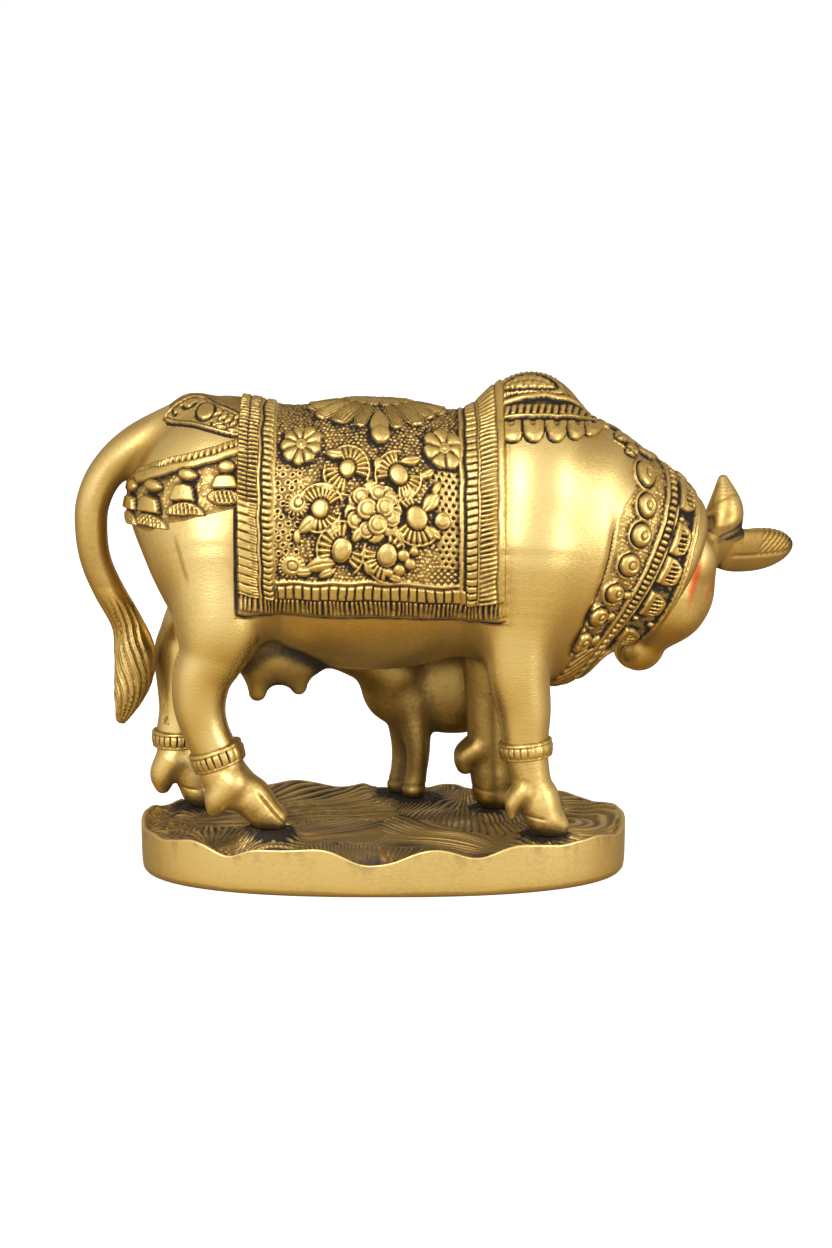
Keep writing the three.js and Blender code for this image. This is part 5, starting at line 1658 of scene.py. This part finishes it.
cow_skin = skin_piece(
    "cow_body", carved(cow, neck_fold, where=lambda p: (p[:, 0] > 40) & (p[:, 0] < 76)),
    [-88, -33, 14], [92, 33, 129], 0.85, in_body, stain=cow_stain_and_shade, softness=1.1, deepest=0.4,
)
skin_piece("tail_brush", carved(cow, tail_cut), [-84, -4, 22], [-60, 17, 68], 0.4, in_brush)
skin_piece(
    "head", carved(cow, head_cut, where=in_head), [56, -8, 34], [121, 40, 106], 0.42,
    lambda points: in_head(points, 0.7), painted, stain=head_marks_and_shade, tint=head_paint, softness=0.3,
    deepest=0.9,
)
for name, (x, y) in HOOVES.items():
    if name != "left_fore":
        low, high = [x - 22, y - 10, -0.3], [x + 13, y + 10, ANKLES[name][2] + 1.5]
        skin_piece(name + "_foot", foot(name), low, high, 0.42, material=cast, softness=0.3)
skin_piece(
    "left_fore_leg", blend(3, foot("left_fore"), trunk), [10, 3, -0.3], [48, 26, 50], 0.5,
    in_left_foreleg_piece, satin_in_shade, softness=0.5,
)


def calf_cut(points):
    """The calf's eyes, mouth and cloven feet."""
    x, _, z = points.T
    eye = np.hypot(x + 9.6, 1.3 * (z - 45.4))
    cut = groove(eye - 1.7, 0.4, 0.3) * (x < -6) - groove(eye, 1.0, 0.35) * (x < -6)
    cut += groove(z - 41.8 - 0.05 * (x + 16), 0.4, 0.4) * smoothstep(-13.5, -16, x)
    cut += groove(np.hypot(x + 21.2, z - 44.2), 0.6, 0.4)
    return cut + groove(z - 3.4, 0.4, 0.25) * (z < 6)


calf_skin = skin_piece(
    "calf_body", carved(calf, calf_cut, reach=2), [-26, 15, -0.3], [48, 40, 54], 0.6,
    material=satin_in_shade, softness=0.6,
)
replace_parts(cow_skin, "cow")
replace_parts(calf_skin, "calf")

# The plinth: an oval with a wavy rim, a smooth wall and engraved ground.
HALF_LENGTH, HALF_WIDTH = 68.4, 37.94
SQUARENESS = 0.82  # 1 would make the outline an ellipse, and less makes it squarer
# The rows of points over the top, as shares of the way out to the outline.
GROUND_SHARES = [0.004, *np.linspace(0.02, 0.966, 94)]
RIM_SHARES = [0.974, 0.982, 0.988, 0.993, 0.9975, 1.0]
RIM_DIPS = [  # degrees round the rim, depth and width of each dip
    (-91.2, 4.8, 5.5), (-72, 3.0, 6), (-124, 3.3, 7), (-109, 0.9, 6), (-47, 1.0, 8), (-150, 1.6, 8),
    (-168, 1.4, 9), (-18, 1.8, 9), (30, 1.4, 9), (54, 0.8, 5), (72, 0.9, 3.5), (83, 0.9, 3.5),
    (92.4, -0.3, 2), (98, 1.1, 4), (109, -1.2, 6), (126, 0.8, 6), (155, 1.8, 9),
]
# The middles of the soles. The first is the right hind hoof's, which stands on its toe on a mound.
SOLES = [(x + (4 if name == "right_hind" else 1), y) for name, (x, y) in HOOVES.items()]
SOLES += [(9, 26.8), (4.5, 33.2), (38, 26.8), (33, 33.2)]
PAINT_SPOTS = [(-3, -33), (27, -32.5)]
# The wall below the rim: how far in, and the share of the rim's height.
WALL = [(0.0, 0.97), (0.0, 0.85), (0.0, 0.7), (0.05, 0.5), (0.1, 0.3), (0.2, 0.15), (0.4, 0.06), (1.0, 0.0)]
ground_waves, blade_waves, sheet_waves = Waves(24, 5), Waves(12, 6), Waves(30, 5)


def crests(across, key, x, y):
    """Thin ridges, each of its own height, which rises and falls along it."""
    own = np.mod(np.sin(np.floor(across + 0.5) * 78.2 + key) * 437.58, 1)
    crest = (0.5 + 0.5 * np.cos(2 * math.pi * across)) ** 1.6
    return crest * (0.3 + 0.7 * own * smoothstep(-1.6, 0.4, blade_waves(0.3 * x + 7 * own, 0.3 * y)))


def tuft(x, y, root, count, key):
    """Ridges that spread from a root, with more of them farther out."""
    dx, dy = x - root[0], y - root[1]
    away = np.hypot(dx, dy)
    turn = np.arctan2(dy, dx) + 0.025 * ground_waves(0.8 * x, 0.8 * y)
    inner = crests(turn * count / (2 * math.pi), key, x, y)
    outer = crests(turn * count / math.pi, key + 1, x, y)
    split = smoothstep(0.28, 0.36, away / count)
    return inner * (1 - split) + outer * split


def ground_relief(x, y):
    """Grass in tufts, and rings of it at the front end."""
    lines = tuft(x, y, (-46, -30), 78, 2.0)
    rings = np.hypot((x - 44) * 0.5, y - 2)
    over_all = 3.5 * sheet_waves(x, y)
    for value, other in [
        (y - 6 - 0.25 * x + over_all, tuft(x, y, (-62, 2), 74, 3.0)),
        (x - 2 - 0.5 * y + over_all, tuft(x, y, (52, -40), 84, 5.0)),
        (np.minimum(x - 15 + 0.6 * y, y - 4 + 0.5 * x) + over_all, tuft(x, y, (24, 40), 70, 7.0)),
        (-(y + 24) - 0.15 * np.abs(x) + 0.6 * over_all, tuft(x, y, (-6, -62), 96, 9.0)),
        (x - 50 - 0.1 * y, crests((rings + 0.4 * blade_waves(x, y)) / 1.9, 4.0, x, y)),
    ]:
        over = smoothstep(-0.4, 0.4, value)
        lines = lines * (1 - over) + other * over
    return lines


def rim_line(around):
    """How far the rim stands above the plinth's top, all the way round."""
    degrees = np.degrees(around)
    rim = 1.4
    for place, depth, width in RIM_DIPS:
        away = np.abs(np.mod(degrees - place + 540, 360) - 180)
        rim = rim - groove(away, width, depth)
    return rim + 0.12 * np.sin(around * 31) * np.sin(around * 7)


def plinth_top(x, y, reach, rim, far_side):
    """The height and the stain of the top: uneven ground, pads under the soles and engraved grass, with a
    painted highlight along the front rim and painted shadow round the soles.
    """
    nearest = np.minimum.reduce([np.hypot(x - a, y - b) for a, b in SOLES])
    pad = smoothstep(0, 4.5, 12.4 - nearest)
    rising = smoothstep(0.955 - 0.2 * far_side, 0.992, reach)
    sunk = np.minimum(rim - 0.6, -0.3) * smoothstep(0.7, 0.96, reach) * (1 - far_side)
    ground = -1.1 + 0.35 * sheet_waves(x, y) * (1 - rising) + sunk
    raised = ground * (1 - pad) * (1 - rising) + rim * rising * (1 - pad * (rim > 0))
    mound = 2.3 * smoothstep(8.0, 5.2, np.hypot((x - SOLES[0][0]) * 0.85, y - SOLES[0][1]))
    lines = ground_relief(x, y)
    inner = (1 - smoothstep(0.968, 0.985, reach)) * (1 - 0.85 * smoothstep(8.5, 6.5, nearest))
    rough, own = scatter(x, y, 1.7, 0.3)
    lumpy = own * (1 - smoothstep(0.2, 0.9, rough))
    lumpy = lumpy * smoothstep(10.5, 7.5, nearest) * smoothstep(3.0, 5.0, nearest)
    relief_height = 0.95 * (lines - 0.4) * inner + 0.5 * lumpy
    top = PLINTH_TOP + raised + mound - 0.3 * inner + relief_height
    top = top - 0.3 * smoothstep(0.993, 1.0, reach) ** 2
    shaded = 1 - smoothstep(0.972, 0.988, reach)
    worn = 0.12 * ground_waves(x, y) + 0.1 * sheet_waves(2 * x, 2 * y)
    # Painted highlight: the ground near the front rim is made lighter.
    front_rim_highlight = smoothstep(0.88, 0.96, reach) * (1 - far_side)
    rear_end = 0.18 * smoothstep(-12, -45, x)
    stain = shaded * (0.86 - 1.9 * lines * inner + worn + rear_end - 0.4 * front_rim_highlight)
    # Darker ground round each sole: dark solder there, and painted shadow of the feet; the lumps stay
    # lighter.
    stain += shaded * (0.35 - 0.5 * lumpy) * smoothstep(10.5, 7.0, nearest)
    return top, stain


def wall_stain(around, rows):
    """Smudges down from the rim, and the dull underside."""
    depth = np.arange(rows)[:, None]
    patches = ground_waves(150 * around, 3.0 * depth) + 0.5 * blade_waves(190 * around, 2.0 * depth)
    stain = 0.02 + 0.22 * smoothstep(0.1, 1.2, patches) * np.exp(-depth / 1.2)
    stain[-3:] = 0.25
    return stain


def plinth(count=880):
    around = np.linspace(0, 2 * math.pi, count, endpoint=False)
    c, s = np.cos(around), np.sin(around)
    outline_x = np.sign(c) * np.abs(c) ** SQUARENESS
    outline_y = np.sign(s) * np.abs(s) ** SQUARENESS
    shares = np.concatenate([GROUND_SHARES, RIM_SHARES])
    x = shares[:, None] * outline_x * HALF_LENGTH
    y = shares[:, None] * outline_y * HALF_WIDTH
    far_side = smoothstep(-0.1, 0.5, outline_y)
    top, top_stain_and_light = plinth_top(x, y, shares[:, None], rim_line(around), far_side)
    points = [np.stack([x, y, top], -1)]
    for inset, share in WALL:
        side_x, side_y = outline_x * (HALF_LENGTH - inset), outline_y * (HALF_WIDTH - inset)
        points.append(np.stack([side_x, side_y, top[-1] * share], -1)[None])
    points.append(np.stack([outline_x * 2, outline_y * 2, np.zeros(count)], -1)[None])
    points = np.concatenate(points)
    patina_and_painted_light = np.concatenate([top_stain_and_light, wall_stain(around, len(points) - len(shares))])
    tint = np.zeros(patina_and_painted_light.shape)
    for spot_x, spot_y in PAINT_SPOTS:
        tint[:len(shares)] += np.clip(1.3 - np.hypot((x - spot_x) / 4.5, (y - spot_y) / 3.0), 0, 1)
    faces = quads(len(points), count, columns_close=True)
    attributes = {"patina_and_painted_light": np.clip(patina_and_painted_light, 0, 1).ravel(), "tint": tint.ravel()}
    return make("plinth", points.reshape(-1, 3), faces, stained, lift=0, attributes=attributes)


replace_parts(plinth(), "base")

# Floor, lights and surroundings.
floor_material = bpy.data.materials.new("floor")
floor_material.use_nodes = True
floor_shader = floor_material.node_tree.nodes["Principled BSDF"]
floor_shader.inputs["Base Color"].default_value = (0.75, 0.75, 0.75, 1)
floor_shader.inputs["Roughness"].default_value = 0.9
floor_shader.inputs["Emission Color"].default_value = (1, 1, 1, 1)
floor_shader.inputs["Emission Strength"].default_value = 0.55
bpy.ops.mesh.primitive_plane_add(size=12)
floor = bpy.context.object
floor.name = "floor"
floor.data.materials.append(floor_material)
floor.visible_glossy = False

world = bpy.data.worlds.new("studio")
bpy.context.scene.world = world


def studio_sky():
    """White to the eye. The metal mirrors it bright in front, dull above and behind, and amber below."""
    tree = Nodes(world)
    place = tree.add("ShaderNodeTexCoord").outputs["Generated"]
    parts = tree.add("ShaderNodeSeparateXYZ", place).outputs

    def spread(value, low, high, stops):
        return tree.ramp(tree.add("ShaderNodeMapRange", value, low, high).outputs[0], stops)

    front = spread(parts["Y"], 1.0, -1.0, [
        (0.1, (0.42, 0.36, 0.28)), (0.42, (0.70, 0.60, 0.45)), (0.6, (1.0, 0.92, 0.78)),
        (0.8, (1.2, 1.16, 1.08)),
    ])
    rise = spread(parts["Z"], -1.0, 1.0, [
        (0.05, (0.42, 0.27, 0.08)), (0.3, (0.75, 0.62, 0.38)), (0.48, (1.0, 0.98, 0.95)),
        (0.75, (1.1, 1.1, 1.1)), (0.92, (0.9, 0.86, 0.8)),
    ])
    mirrored = tree.mix(1.0, front, rise, "MULTIPLY")
    glossy = tree.add("ShaderNodeLightPath").outputs["Is Glossy Ray"]
    background = tree.nodes["Background"].inputs
    tree.feed(background["Color"], tree.mix(glossy, (1, 1, 1, 1), mirrored))
    tree.feed(background["Strength"], 1.0)


studio_sky()


def softbox(name, location, toward, size, power, color=(1, 0.97, 0.92)):
    light = bpy.data.lights.new(name, "AREA")
    light.shape = "RECTANGLE"
    light.size, light.size_y = size
    light.energy = power
    light.color = color
    lamp = bpy.data.objects.new(name, light)
    bpy.context.scene.collection.objects.link(lamp)
    lamp.location = location
    aim = Vector(toward) - Vector(location)
    lamp.rotation_euler = aim.to_track_quat("-Z", "Y").to_euler()


softbox("key", (-0.35, -0.95, 0.7), (0, 0, 0.07), (0.7, 0.8), 7)
softbox("fill", (0.85, -0.6, 0.35), (0, 0, 0.07), (0.4, 0.8), 3)
